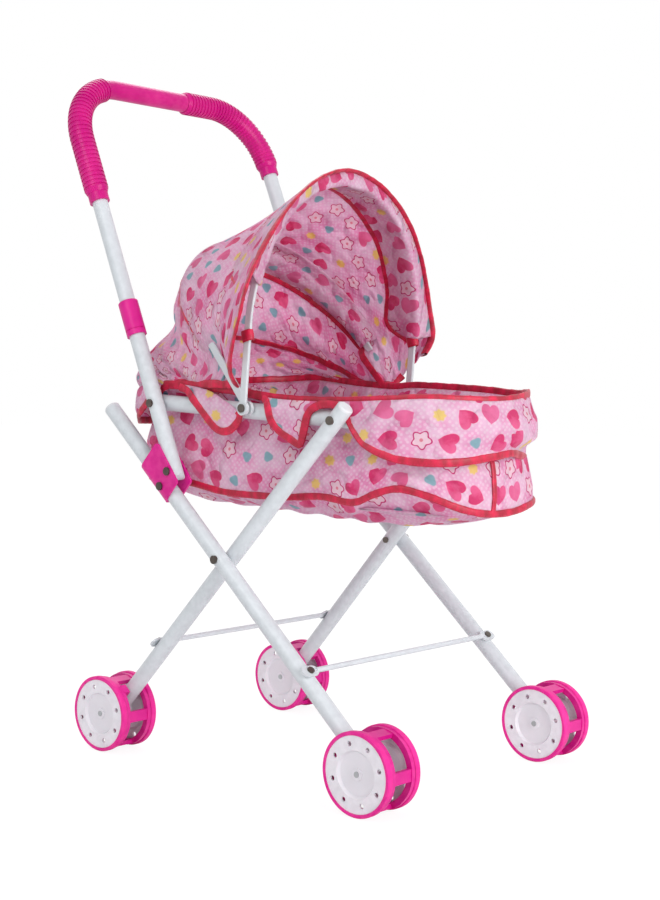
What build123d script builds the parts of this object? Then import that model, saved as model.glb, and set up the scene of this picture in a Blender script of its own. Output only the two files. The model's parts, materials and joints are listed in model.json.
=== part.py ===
from build123d import *
import math
import os

# A folding doll stroller: two crossed tube legs on each side, a seat frame, a U-shaped push
# handle, a fabric bassinet with a bow hood, and four pairs of small wheels.
# Millimetres. +X points forward, +Y to the pusher's left, +Z up. The floor is z = 0.

# ---------------------------------------------------------------- driving dimensions
WHEEL_D = 62.0
WHEELBASE = 280.0
TUBE_D = 13.0
TUBE_WALL = 0.8
SIDE_Y = 112.5              # middle plane of each front leg and of each handle arm
WASHER = 0.5                # running gap between two crossed tubes
RAIL_WASHER = 1.2           # the same between a seat rail and the handle or rear leg
FIT = 0.05                  # radial clearance of a running or push fit
SOFT_GAP = 0.3              # clearance of fabric from its frame

# side geometry, measured from the rear axle
SCISSOR_X = 124.9
SCISSOR_Z = 169.5
FRONT_LEG_ABOVE = 170.0     # scissor pivot to the free upper end of the front leg
REAR_LEG_ABOVE = 148.8      # scissor pivot to the seat pivot of the rear leg
REAR_LEG_TIP = 12.0         # rear leg past its seat pivot
BRACKET_ALONG = 82.6        # scissor pivot to the handle pivot, along the front leg
BRACKET_OUT = 14.7          # handle pivot in front of the front leg's axis
HANDLE_LEAN = 23.0          # degrees from the vertical
SEAT_PIVOT_UP = 58.1        # handle pivot to seat pivot, along the handle
REAR_LEG_AXLE_Y = 107.0     # the rear legs splay out to this at the axle
REAR_TRACK_Y = 109.5        # middle of each rear wheel pair

# handle, distances measured along its arms from the handle pivot
HANDLE_FOOT_R = 7.6
HANDLE_JOINT = 132.0
HANDLE_TOP = 350.0
HANDLE_BEND_R = 55.0
CONNECTOR_D = 16.4
CONNECTOR_LEN = 30.0
CONNECTOR_ROUND = 1.3
CONNECTOR_LIP = 4.0         # the groove stands this far above the ferrule's foot
CONNECTOR_GROOVE = 0.9
GRIP_D = 19.2
GRIP_RIB_D = 20.4
GRIP_COLLAR_D = 16.8
GRIP_COLLAR = 7.5
GRIP_FLARE = 4.0            # cone between the ribs and the collar
GRIP_TAIL = 2.5             # cone at the end by the sleeve
GRIP_EDGE = 0.2             # step at the small end of each cone
GRIP_LEN = 130.0
GRIP_START = 237.0          # lower end of the right grip
GRIP_RIBS = 30
RIB_LEN = 1.9
SLEEVE_D = 16.2
SLEEVE_LEN = 94.5

# wheels
TYRE_R_IN = 28.2
TYRE_W = 5.0
TYRE_FACE_Y = 18.3          # outer face of a tyre from the middle of its pair
DISC_R = 28.05
DISC_DISH_R = 17.5
DISC_T = 1.8
DISC_HOLES = 8
DISC_HOLE_R = 1.9
DISC_HOLE_PCD_R = 22.3
HUB_R = 4.5
AXLE_R = 1.6
AXLE_CAP = 0.6              # the axle's end cap stands out by this much all round
CAGE_R = 30.0
CAGE_R_IN = 25.2
CAGE_RING_W = 3.6
CAGE_GAP = 0.4              # cage ring to tyre
CAGE_BAR_ANGLES = (75, 0, -75, -150)
CAGE_BAR_W = 9.0
CAGE_BAR_T = 3.4

# fasteners
RIVET_R = 1.5
RIVET_HEAD_R = 3.3
RIVET_HEAD_T = 1.4

# brackets on the front legs
BRACKET_WALL = 1.9
BRACKET_LOW = 68.5
BRACKET_HIGH = 107.5
BRACKET_FRONT_LOW = 16.5
BRACKET_FRONT_HIGH = 23.5

# cross rods
ROD_D = 4.2
ROD_TAB_W = 9.0
ROD_TAB_T = 1.6
ROD_TAB_LEN = 13.0
FRONT_ROD_ALONG = 87.0      # up the front leg from the axle
REAR_ROD_ALONG = 78.0       # up the rear leg from the axle
SCREW_HEAD_R = 2.8
SCREW_HEAD_T = 1.5

# seat frame, distances along it from the rear seat pivot
SEAT_AHEAD = 90.6           # front of the frame loop past the rear leg's pivot
SEAT_BACK = 53.0
SEAT_CORNER_R = 45.0
SEAT_BOW_TAIL = 7.5         # straight ends of the front bow, behind its arc
HOOD_ALONG = 88.0
HOOD_UP = 2.5

# fabric tub and skirts, heights from the seat frame's axis
TUB_RIM = 14.5
TUB_SHOULDER = 8.0          # the bag hangs clear of the tube over this height
TUB_WAIST = -40.0
TUB_FLOOR = -70.0
TUB_T = 1.5
TUB_BULGE = -4.0
TUB_FOOT_IN = -6.5
PAD_T = 3.0
SKIRT_T = 1.2
SKIRT_DROP = 24.0
FRONT_SKIRT_LEN = 67.0      # from its upper corner to the front of the loop
FRONT_SKIRT_RISE_R = 90.0   # the hem sweeps up along this radius
REAR_SKIRT_LEN = 27.0
ROUND_FLAP_AT = 53.0        # middle of the round flap, and of the pointed one
ROUND_FLAP_W = 52.0
ROUND_FLAP_DROP = 21.0
POINT_FLAP_AT = 130.5
POINT_FLAP_W = 41.0
POINT_FLAP_DROP = 20.0
FLAP_SIDE_DROP = 4.0        # upper straight part of a flap's front edge, below the frame's axis
BINDING_H = 4.5
BINDING_T = 2.6

# hood
BOW_T = 2.8                 # the bows are flat moulded straps
BOW_DEPTH = 6.8
BOW_EDGE_R = 1.2
BOW_GAP = 1.3               # side gap from the seat frame
BOW_SPACER = 2.4            # between the two bows on their rivet
FRONT_BOW_LEAN = 4.5        # degrees forward of vertical
REAR_BOW_LEAN = -39.0
FRONT_BOW_LEG = 64.0
FRONT_BOW_RISE = 118.0
REAR_BOW_LEG = 60.0
REAR_BOW_RISE = 112.0
BOW_SIDE_RATIO = 1.157      # radius of a hoop's side arcs, from its rise
BOW_EYE_R = 5.5
CANOPY_T = 1.5

# ---------------------------------------------------------------- derived places
TUBE_R = TUBE_D / 2
WHEEL_R = WHEEL_D / 2
lean = math.radians(HANDLE_LEAN)
arm = Vector(-math.sin(lean), 0, math.cos(lean))


def side_point(x, z, y=0.0):
    """A point of the side view, given from the rear axle."""
    return Vector(x + rear_axle_x, y, z)


# the handle's grips reach furthest back and the front skirt furthest forward
back_of_leg = math.hypot(WHEELBASE - SCISSOR_X, SCISSOR_Z - WHEEL_R)
leg_up = Vector(SCISSOR_X - WHEELBASE, 0, SCISSOR_Z - WHEEL_R) * (1 / back_of_leg)
leg_out = Vector(leg_up.Z, 0, -leg_up.X)
rear_len = math.hypot(SCISSOR_X, SCISSOR_Z - WHEEL_R)
rear_up = Vector(SCISSOR_X, 0, SCISSOR_Z - WHEEL_R) * (1 / rear_len)
scissor = Vector(SCISSOR_X, 0, SCISSOR_Z)
handle_pivot = scissor + leg_up * BRACKET_ALONG + leg_out * BRACKET_OUT
seat_pivot = handle_pivot + arm * SEAT_PIVOT_UP
rear_leg_pivot = scissor + rear_up * REAR_LEG_ABOVE
seat_span = (rear_leg_pivot - seat_pivot).length
seat_dir = (rear_leg_pivot - seat_pivot) * (1 / seat_span)
seat_up = Vector(-seat_dir.Z, 0, seat_dir.X)
SEAT_REACH = seat_span + SEAT_AHEAD
SKIRT_OUT = TUBE_R + SOFT_GAP + 1.0 + SKIRT_T
handle_back = (handle_pivot + arm * HANDLE_TOP).X - GRIP_RIB_D / 2
seat_front = (seat_pivot + seat_dir * (SEAT_REACH + SKIRT_OUT)).X
rear_axle_x = -(handle_back + seat_front) / 2

shift = Vector(rear_axle_x, 0, 0)
scissor += shift
handle_pivot += shift
seat_pivot += shift
rear_leg_pivot += shift
front_axle = side_point(WHEELBASE, WHEEL_R)
rear_axle = side_point(0, WHEEL_R)

# layers, from the outside in: front leg and handle arm, rear leg, seat rail
rear_leg_y = SIDE_Y - TUBE_D - WASHER
splay = (REAR_LEG_AXLE_Y - rear_leg_y) / rear_len
rear_leg_top_y = rear_leg_y - splay * REAR_LEG_ABOVE
rail_rear_y = SIDE_Y - TUBE_D - RAIL_WASHER
rail_front_y = rear_leg_top_y - TUBE_D - RAIL_WASHER
rail_taper = (rail_rear_y - rail_front_y) / seat_span
hood_pivot = seat_pivot + seat_dir * HOOD_ALONG + seat_up * HOOD_UP
rail_hood_y = rail_rear_y - rail_taper * HOOD_ALONG
rear_bow_y = rail_hood_y + TUBE_R + BOW_GAP + BOW_T / 2
front_bow_y = rear_bow_y + BOW_T + BOW_SPACER


# ---------------------------------------------------------------- helpers
def at_side(point, y):
    return Vector(point.X, y, point.Z)


def rod(start, end, radius):
    axis = end - start
    base = Plane(origin=start, z_dir=axis)
    return base * Cylinder(radius, axis.length, align=(Align.CENTER, Align.CENTER, Align.MIN))


def tube(start, end, radius=TUBE_R, wall=TUBE_WALL):
    over = (end - start).normalized()
    return rod(start, end, radius) - rod(start - over, end + over, radius - wall)


def cross_hole(point, radius, y_low, y_high):
    return rod(at_side(point, y_low), at_side(point, y_high), radius)


def pivot_hole(point, y):
    reach = TUBE_D
    return cross_hole(point, RIVET_R + FIT, y - reach, y + reach)


def swept(path, radius):
    return sweep(Plane(origin=path @ 0, z_dir=path % 0) * Circle(radius), path=path)


def swept_tube(path, radius=TUBE_R, wall=TUBE_WALL):
    return swept(path, radius) - swept(path, radius - wall)


def mirrored(shape, side):
    """The right side is modelled at negative y; side is -1 for right and 1 for left."""
    if side < 0:
        return shape
    return mirror(shape, about=Plane.XZ)


def rivet(point, y_out, y_in, seat_out=None, seat_in=None):
    """A headed pin from y_out (head) to y_in (tail); a head is saddled on a tube it is fixed to."""
    shank = cross_hole(point, RIVET_R, y_out, y_in)
    step = -1 if y_out < y_in else 1
    head_in = 1.6 if seat_out is not None else 0.0
    head = cross_hole(point, RIVET_HEAD_R, y_out - step * head_in, y_out + step * RIVET_HEAD_T)
    tail_in = 1.4 if seat_in is not None else 0.0
    tail = cross_hole(point, RIVET_HEAD_R * 0.8, y_in + step * tail_in, y_in - step * RIVET_HEAD_T)
    if seat_out is not None:
        head -= seat_out
    if seat_in is not None:
        tail -= seat_in
    return shank + head + tail


# ---------------------------------------------------------------- wheels
def ring(radius, inner, y_low, y_high, centre, bevel=0.0):
    body = cross_hole(centre, radius, y_low, y_high)
    if bevel:
        body = chamfer(body.edges().filter_by(GeomType.CIRCLE), bevel)
    return body - cross_hole(centre, inner, y_low - 1, y_high + 1)


def tyres(centre, mid_y):
    """Two ring tyres, one for each disc of the pair."""
    pair = []
    for sign in (-1, 1):
        low, high = sorted((sign * (TYRE_FACE_Y - TYRE_W), sign * TYRE_FACE_Y))
        pair.append(ring(WHEEL_R, TYRE_R_IN, mid_y + low, mid_y + high, centre, 0.7))
    return pair


def wheel_discs(centre, mid_y, leg_y):
    """Dished discs with a ring of holes; each hub reaches in to the leg tube."""
    pair = []
    for sign in (-1, 1):
        face = TYRE_FACE_Y - 0.6
        hub_end = (leg_y - mid_y) * sign + TUBE_R + SOFT_GAP + splay * HUB_R
        dish = face - 2.2
        points = [
            (AXLE_R + FIT, face - 1.4),
            (HUB_R, face - 1.4),
            (HUB_R, dish),
            (DISC_DISH_R - 1.6, dish),
            (DISC_DISH_R, face),
            (DISC_R + FIT, face),
            (DISC_R + FIT, face - DISC_T),
            (DISC_DISH_R + 1.0, face - DISC_T),
            (DISC_DISH_R - 0.8, dish - DISC_T),
            (HUB_R + 1.0, dish - DISC_T),
            (HUB_R + 1.0, hub_end),
            (AXLE_R + FIT, hub_end),
        ]
        profile = make_face(Polyline(*points, close=True))
        disc = revolve(Plane.XY * profile, axis=Axis.Y)
        for index in range(DISC_HOLES):
            angle = math.radians(360 / DISC_HOLES * (index + 0.35))
            spot = Vector(DISC_HOLE_PCD_R * math.cos(angle), 0, DISC_HOLE_PCD_R * math.sin(angle))
            disc -= cross_hole(spot, DISC_HOLE_R, face - 4, face + 1)
        if sign < 0:
            disc = mirror(disc, about=Plane.XZ)
        pair.append(Pos(centre.X, mid_y, centre.Z) * disc)
    return pair


def axle(centre, mid_y):
    """A pin through both discs with a push-on cap at each end."""
    face = TYRE_FACE_Y - 0.6 - 1.4
    pin = cross_hole(centre, AXLE_R, mid_y - face - AXLE_CAP, mid_y + face + AXLE_CAP)
    for sign in (-1, 1):
        pin += cross_hole(centre, AXLE_R + AXLE_CAP, mid_y + sign * face, mid_y + sign * (face + AXLE_CAP))
    return pin


def cage(centre, mid_y, leg_y, leg_ends):
    """Two guard rings joined by bars, clipped on the leg where it passes between them."""
    inner_face = TYRE_FACE_Y - TYRE_W - CAGE_GAP - CAGE_RING_W
    outer_face = inner_face + CAGE_RING_W
    leg_up_at = leg_ends[1] - leg_ends[0]
    body = None
    for sign in (-1, 1):
        low, high = sorted((sign * inner_face, sign * outer_face))
        band = ring(CAGE_R, CAGE_R_IN, mid_y + low, mid_y + high, centre)
        body = band if body is None else body + band
    bar = Box(CAGE_BAR_T, 2 * outer_face, CAGE_BAR_W)
    for angle in CAGE_BAR_ANGLES:
        turn = math.radians(angle)
        radius = (CAGE_R + CAGE_R_IN) / 2
        spot = Vector(radius * math.cos(turn), mid_y, radius * math.sin(turn))
        body += Location(Vector(centre.X, 0, centre.Z) + spot, (0, -angle, 0)) * bar
    # a lug on each ring closes the gap to the leg, and the rings are notched where it passes
    leg_angle = math.degrees(math.atan2(leg_up_at.Z, leg_up_at.X))
    turn = math.radians(leg_angle)
    radius = (CAGE_R + CAGE_R_IN) / 2
    for sign in (-1, 1):
        leg_face = leg_y + sign * (TUBE_R + FIT)
        ring_face = mid_y + sign * (inner_face + 0.5)
        gap = sign * (ring_face - leg_face)
        if gap > 1.0:
            lug = Box(CAGE_R - CAGE_R_IN, gap, 8.0)
            spot = Vector(centre.X + radius * math.cos(turn), leg_face + sign * gap / 2,
                          centre.Z + radius * math.sin(turn))
            body += Location(spot, (0, -leg_angle, 0)) * lug
    return body - rod(*leg_ends, TUBE_R + FIT)


# ---------------------------------------------------------------- legs and rods
def front_leg_axis(y):
    top = scissor + leg_up * FRONT_LEG_ABOVE
    low = front_axle - leg_up * (AXLE_R + 4.0)
    return at_side(low, y), at_side(top, y)


def front_leg():
    low, top = front_leg_axis(-SIDE_Y)
    leg = tube(low, top)
    leg -= pivot_hole(scissor, -SIDE_Y)
    leg -= pivot_hole(scissor + leg_up * (BRACKET_ALONG - 2.0), -SIDE_Y)
    leg -= cross_hole(front_axle, AXLE_R + FIT, -SIDE_Y - TUBE_D, -SIDE_Y + TUBE_D)
    spot = at_side(front_axle + leg_up * FRONT_ROD_ALONG, -SIDE_Y)
    return leg - rod(spot, spot + leg_out * TUBE_D, RIVET_R + FIT)


def leg_plug(end, direction):
    """A domed plug pressed into an open tube end."""
    stem = rod(end - direction * 8, end, TUBE_R - TUBE_WALL - FIT)
    cap = rod(end, end + direction * 2.4, TUBE_R)
    cap = fillet(cap.edges().filter_by(GeomType.CIRCLE).sort_by(
        lambda edge: (edge.center() - end).dot(direction))[-1], 1.8)
    return stem + cap


def rear_leg_points():
    low = at_side(rear_axle - rear_up * (AXLE_R + 4.0), -REAR_LEG_AXLE_Y - splay * (AXLE_R + 4.0))
    top = at_side(rear_leg_pivot + rear_up * REAR_LEG_TIP, -rear_leg_top_y + splay * REAR_LEG_TIP)
    return low, top


def rear_leg():
    low, top = rear_leg_points()
    leg = tube(low, top)
    leg -= pivot_hole(scissor, -rear_leg_y)
    leg -= pivot_hole(rear_leg_pivot, -rear_leg_top_y)
    leg -= cross_hole(rear_axle, AXLE_R + FIT, -REAR_LEG_AXLE_Y - TUBE_D, -REAR_LEG_AXLE_Y + TUBE_D)
    spot, normal = rear_rod_seat()
    return leg - rod(spot, spot + normal * TUBE_D, RIVET_R + FIT)


def rear_rod_seat():
    along = REAR_ROD_ALONG
    spot = at_side(rear_axle + rear_up * along, -REAR_LEG_AXLE_Y + splay * along)
    return spot, Vector(-rear_up.Z, 0, rear_up.X)


def cross_rod(spot, normal):
    """A thin rod whose flattened ends lie on the legs."""
    lift = TUBE_R + FIT + ROD_TAB_T / 2
    centre = Vector(spot.X, 0, spot.Z) + normal * lift
    half = abs(spot.Y)
    body = rod(at_side(centre, -half + ROD_TAB_LEN / 2), at_side(centre, half - ROD_TAB_LEN / 2), ROD_D / 2)
    face = Plane(origin=centre, x_dir=(0, 1, 0), z_dir=normal)
    for sign in (-1, 1):
        tab = extrude(SlotOverall(ROD_TAB_LEN + 4, ROD_TAB_W), amount=ROD_TAB_T / 2, both=True)
        tab -= Cylinder(RIVET_R + FIT, TUBE_D)
        body += face * Pos(sign * half, 0, 0) * tab
    for sign in (-1, 1):
        body -= rod(at_side(spot, sign * half), at_side(spot, sign * half) + normal * 3 * TUBE_D, RIVET_R + FIT)
    leg_shell = rod(spot - normal.cross(Vector(0, 1, 0)) * 30, spot + normal.cross(Vector(0, 1, 0)) * 30,
                    TUBE_R + FIT)
    return body - leg_shell - mirror(leg_shell, about=Plane.XZ)


def rod_screw(spot, normal):
    start = spot + normal * (TUBE_R - 4.0)
    seat = spot + normal * (TUBE_R + FIT + ROD_TAB_T + FIT)
    return rod(start, seat, RIVET_R) + rod(seat, seat + normal * SCREW_HEAD_T, SCREW_HEAD_R)


def bracket():
    """A clevis wrapped round the front leg; its two cheeks carry the handle pivot."""
    bore = TUBE_R + 2 * FIT
    wall = bore + BRACKET_WALL
    base = Plane(origin=at_side(scissor + leg_up * BRACKET_LOW, -SIDE_Y), x_dir=leg_out, z_dir=leg_up)
    reach = BRACKET_FRONT_HIGH
    outline = Circle(wall) + Pos(reach / 2, 0) * Rectangle(reach, 2 * wall)
    inside = Circle(bore) + Pos(reach / 2 + 1, 0) * Rectangle(reach + 2, 2 * bore)
    shell = extrude(base * (outline - inside), amount=BRACKET_HIGH - BRACKET_LOW)
    side = Plane(origin=at_side(scissor, -SIDE_Y), x_dir=leg_up, z_dir=(0, 1, 0))
    flip = 1 if (side.y_dir.dot(leg_out)) > 0 else -1
    cheek = Polyline(
        (BRACKET_LOW, -flip * wall),
        (BRACKET_HIGH, -flip * wall),
        (BRACKET_HIGH, flip * BRACKET_FRONT_HIGH),
        (BRACKET_LOW, flip * BRACKET_FRONT_LOW),
        close=True,
    )
    profile = make_face(cheek)
    profile = fillet(profile.vertices(), 3.0)
    shell &= extrude(side * profile, amount=wall + 1, both=True)
    for point in bracket_rivet_points():
        shell -= cross_hole(point, RIVET_R + FIT, -SIDE_Y - 2 * wall, -SIDE_Y + 2 * wall)
    return shell


def bracket_rivet_points():
    return handle_pivot, scissor + leg_up * (BRACKET_ALONG - 2.0)


def bracket_rivets():
    half = TUBE_R + 2 * FIT + BRACKET_WALL
    return [rivet(point, -SIDE_Y - half, -SIDE_Y + half) for point in bracket_rivet_points()]


def scissor_rivet():
    low, top = front_leg_axis(-SIDE_Y)
    tail_y = -rear_leg_y + TUBE_R + splay * RIVET_HEAD_R + FIT
    return rivet(scissor, -SIDE_Y - TUBE_R, tail_y, rod(low, top, TUBE_R))


# ---------------------------------------------------------------- handle
handle_plane = Plane(origin=handle_pivot, x_dir=(0, 1, 0), z_dir=(arm.Z, 0, -arm.X))


def arm_point(along, y):
    return at_side(handle_pivot + arm * along, y)


def handle_lower():
    foot = arm_point(-HANDLE_FOOT_R, -SIDE_Y)
    joint = arm_point(HANDLE_JOINT, -SIDE_Y)
    body = rod(foot, joint, TUBE_R) - rod(arm_point(HANDLE_FOOT_R, -SIDE_Y), joint + arm, TUBE_R - TUBE_WALL)
    eye = cross_hole(handle_pivot, HANDLE_FOOT_R, -SIDE_Y - TUBE_D, -SIDE_Y + TUBE_D)
    above = rod(handle_pivot - Vector(0, SIDE_Y, 0), joint + arm, 2 * TUBE_D)
    body &= eye + above
    body -= pivot_hole(handle_pivot, -SIDE_Y)
    return body - pivot_hole(seat_pivot, -SIDE_Y)


bend_start = HANDLE_TOP - HANDLE_BEND_R
bend_len = HANDLE_BEND_R * math.pi / 2
top_start = SIDE_Y - HANDLE_BEND_R
handle_len = 2 * (bend_start + bend_len + top_start)


def bend_arc(side, low, high):
    """Part of one of the handle's two bends; side is -1 for the right bend."""
    first = 180 if side < 0 else 90
    turn = math.degrees(1 / HANDLE_BEND_R)
    return CenterArc((side * top_start, bend_start), HANDLE_BEND_R, first - turn * low, turn * (low - high))


def handle_stretch(start, end):
    """The handle's centre line between two distances along it, counted from the right arm's pivot."""
    pieces = (
        (bend_start, lambda low, high: Line((-SIDE_Y, low), (-SIDE_Y, high))),
        (bend_len, lambda low, high: bend_arc(-1, low, high)),
        (2 * top_start, lambda low, high: Line((low - top_start, HANDLE_TOP), (high - top_start, HANDLE_TOP))),
        (bend_len, lambda low, high: bend_arc(1, low, high)),
        (bend_start, lambda low, high: Line((SIDE_Y, bend_start - low), (SIDE_Y, bend_start - high))),
    )
    edges = []
    passed = 0.0
    for length, make in pieces:
        low = max(start - passed, 0.0)
        high = min(end - passed, length)
        if high - low > 0.01:
            edges.append(make(low, high))
        passed += length
    return handle_plane * Wire(edges)


def handle_upper():
    return swept_tube(handle_stretch(HANDLE_JOINT, handle_len - HANDLE_JOINT))


def grip(start, collar_first):
    """A soft corrugated grip: fine ribs, a coned end by the sleeve and a plain collar at its open end."""
    path = handle_stretch(start, start + GRIP_LEN)

    def stretch(low, high):
        if not collar_first:
            low, high = GRIP_LEN - high, GRIP_LEN - low
        return handle_stretch(start + low, start + high)

    def ring(along, radius):
        where = along if collar_first else GRIP_LEN - along
        return path.location_at(where / GRIP_LEN) * Circle(radius)

    ribs_from = GRIP_COLLAR + GRIP_FLARE
    ribs_to = GRIP_LEN - GRIP_TAIL
    edge_r = GRIP_COLLAR_D / 2 + GRIP_EDGE
    body = swept(path, GRIP_COLLAR_D / 2) + swept(stretch(ribs_from, ribs_to), GRIP_D / 2)
    body += loft([ring(GRIP_COLLAR, edge_r), ring(ribs_from, GRIP_RIB_D / 2)])
    body += loft([ring(ribs_to, GRIP_RIB_D / 2), ring(GRIP_LEN, edge_r)])
    pitch = (ribs_to - ribs_from + RIB_LEN) / (GRIP_RIBS + 1)
    body += [
        swept(stretch(ribs_from + pitch * index - RIB_LEN, ribs_from + pitch * index), GRIP_RIB_D / 2)
        for index in range(1, GRIP_RIBS + 1)
    ]
    return body - swept(handle_stretch(start - TUBE_D, start + GRIP_LEN + TUBE_D), TUBE_R + FIT)


right_grip_end = GRIP_START + GRIP_LEN
left_grip_start = right_grip_end + SLEEVE_LEN


def handle_sleeve():
    path = handle_stretch(right_grip_end + SOFT_GAP, left_grip_start - SOFT_GAP)
    return swept(path, SLEEVE_D / 2) - swept(handle_stretch(right_grip_end, left_grip_start), TUBE_R + FIT)


def connector():
    """A plastic ferrule over the joint of the two handle tubes, rounded above and grooved near its foot."""
    low = HANDLE_JOINT - CONNECTOR_LEN / 2
    high = HANDLE_JOINT + CONNECTOR_LEN / 2
    body = rod(arm_point(low, -SIDE_Y), arm_point(high, -SIDE_Y), CONNECTOR_D / 2)
    body = fillet(body.edges().filter_by(GeomType.CIRCLE).sort_by(
        lambda edge: (edge.center() - handle_pivot).dot(arm))[-1], CONNECTOR_ROUND)
    lip = low + CONNECTOR_LIP
    groove = rod(arm_point(lip, -SIDE_Y), arm_point(lip + CONNECTOR_GROOVE, -SIDE_Y), CONNECTOR_D)
    groove -= rod(arm_point(lip - 1, -SIDE_Y), arm_point(lip + 2, -SIDE_Y), CONNECTOR_D / 2 - CONNECTOR_GROOVE / 2)
    return body - groove - rod(arm_point(low - 1, -SIDE_Y), arm_point(high + 1, -SIDE_Y), TUBE_R + FIT)


# ---------------------------------------------------------------- seat frame
seat_plane = Plane(origin=seat_pivot, x_dir=seat_dir, z_dir=seat_up)


def rail_y(along):
    return rail_rear_y - rail_taper * along


def seat_point(along, y, up=0.0):
    return seat_pivot + seat_dir * along + seat_up * up + Vector(0, y, 0)


taper_angle = math.atan(rail_taper)
front_centre = (SEAT_REACH * math.cos(taper_angle) ** -1 - rail_rear_y) / (
    math.cos(taper_angle) ** -1 - rail_taper)
front_r = SEAT_REACH - front_centre
front_arc_start = front_centre + front_r * math.sin(taper_angle)
seat_splice = front_arc_start - SEAT_BOW_TAIL


def rear_corner():
    """Centre of the rear corner arc of the right rail, and where it leaves the rail."""
    radius = SEAT_CORNER_R
    centre_s = -SEAT_BACK + radius
    centre_y = rail_y(centre_s) - radius / math.cos(taper_angle)
    return centre_s, centre_y, radius


def outline(offset, up):
    """The seat frame's loop at one height, grown or shrunk by offset."""
    turn = math.degrees(taper_angle)
    radius = front_r + offset
    corner_s, corner_y, corner_r = rear_corner()
    corner_r += offset
    tip = (front_centre + radius * math.sin(taper_angle), radius * math.cos(taper_angle))
    knee = (corner_s + corner_r * math.sin(taper_angle), corner_y + corner_r * math.cos(taper_angle))
    back = corner_s - corner_r
    edges = [
        CenterArc((front_centre, 0), radius, -(90 - turn), 2 * (90 - turn)),
        Line(tip, knee),
        CenterArc((corner_s, corner_y), corner_r, 90 - turn, 90 + turn),
        Line((back, corner_y), (back, -corner_y)),
        CenterArc((corner_s, -corner_y), corner_r, 180, 90 + turn),
        Line((knee[0], -knee[1]), (tip[0], -tip[1])),
    ]
    return seat_plane * Pos(0, 0, up) * make_face(Wire(edges))


def seat_rail():
    start = seat_point(rear_corner()[0], -rail_y(rear_corner()[0]))
    end = seat_point(seat_splice, -rail_y(seat_splice))
    rail = tube(start, end)
    for point, y in ((seat_pivot, rail_rear_y), (rear_leg_pivot, rail_front_y), (hood_pivot, rail_hood_y)):
        rail -= pivot_hole(point, -y)
    return rail


def seat_bow(front):
    turn = math.degrees(taper_angle)
    if front:
        tip = (front_arc_start, front_r * math.cos(taper_angle))
        edges = [
            Line((seat_splice, -rail_y(seat_splice)), (tip[0], -tip[1])),
            CenterArc((front_centre, 0), front_r, -(90 - turn), 2 * (90 - turn)),
            Line(tip, (seat_splice, rail_y(seat_splice))),
        ]
    else:
        corner_s, corner_y, radius = rear_corner()
        knee = (corner_s + radius * math.sin(taper_angle), corner_y + radius * math.cos(taper_angle))
        splice = (corner_s, rail_y(corner_s))
        edges = [
            CenterArc((corner_s, corner_y), radius, 90 - turn, 90 + turn),
            Line((corner_s - radius, corner_y), (corner_s - radius, -corner_y)),
            CenterArc((corner_s, -corner_y), radius, 180, 90 + turn),
        ]
        if abs(knee[0] - splice[0]) > 0.01:
            return swept_tube(seat_plane * Wire(edges)) - rear_splice_cut()
    return swept_tube(seat_plane * Wire(edges))


def rear_splice_cut():
    """The rails end square at the corner's start, so the bow is trimmed back to them."""
    cut = None
    for side in (-1, 1):
        start = seat_point(rear_corner()[0], side * rail_y(rear_corner()[0]))
        end = seat_point(rear_corner()[0] + 20, side * rail_y(rear_corner()[0] + 20))
        piece = rod(start, end, TUBE_D)
        cut = piece if cut is None else cut + piece
    return cut


# ---------------------------------------------------------------- fabric
def tub_solid(shrink, floor_up):
    inside = TUBE_R + RIVET_HEAD_T + SOFT_GAP
    stations = (
        (TUB_RIM + (0.1 if shrink else 0.0), -1.0),
        (TUB_SHOULDER, -inside),
        (-TUB_SHOULDER, -inside),
        (TUB_WAIST, TUB_BULGE),
        (TUB_FLOOR + floor_up, TUB_FOOT_IN),
    )
    faces = [outline(offset - shrink, up) for up, offset in stations]
    return loft(faces, ruled=True)


def tub():
    """The bassinet's fabric: a bag hung inside the frame loop, folded over it at the rim."""
    return tub_solid(0.0, 0.0) - tub_solid(TUB_T, TUB_T)


def floor_pad():
    face = outline(TUB_FOOT_IN - TUB_T - 1.5, TUB_FLOOR + TUB_T)
    return extrude(face, amount=PAD_T, dir=seat_up)


def skirt_band(drop):
    stations = ((TUB_RIM, 1.0), (0.0, TUBE_R + SOFT_GAP + 1.0), (-drop, TUBE_R + SOFT_GAP + 1.0))
    outer = loft([outline(offset + SKIRT_T, up) for up, offset in stations], ruled=True)
    inner = loft([outline(offset, up) for up, offset in stations], ruled=True)
    return outer - inner


def side_cut(profile):
    """A profile in the seat's side view, run right across the part."""
    plane = Plane(origin=seat_pivot, x_dir=seat_dir, z_dir=(0, -1, 0))
    return extrude(plane * profile, amount=2 * SIDE_Y, both=True)


def front_skirt():
    """The long flap round the foot end; its hem sweeps up to the rim behind the rear leg."""
    top = TUB_RIM + 1
    back = SEAT_REACH - FRONT_SKIRT_LEN
    low_back = SEAT_REACH - SKIRT_DROP / 2
    far = SEAT_REACH + 2 * SKIRT_OUT
    shoulder = TUB_RIM / 4
    hem = [
        Line((back, top), (far, top)),
        Line((far, top), (far, -SKIRT_DROP)),
        Line((far, -SKIRT_DROP), (low_back, -SKIRT_DROP)),
        RadiusArc((low_back, -SKIRT_DROP), (back, shoulder), -FRONT_SKIRT_RISE_R),
        Line((back, shoulder), (back, top)),
    ]
    return skirt_band(SKIRT_DROP + 2) & side_cut(make_face(Wire(hem)))


def rear_skirt():
    length = REAR_SKIRT_LEN + 2 * SKIRT_OUT
    middle = -SEAT_BACK + REAR_SKIRT_LEN - length / 2
    return skirt_band(SKIRT_DROP) & side_cut(Pos(middle, 0) * Rectangle(length, 4 * SKIRT_DROP))


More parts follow.
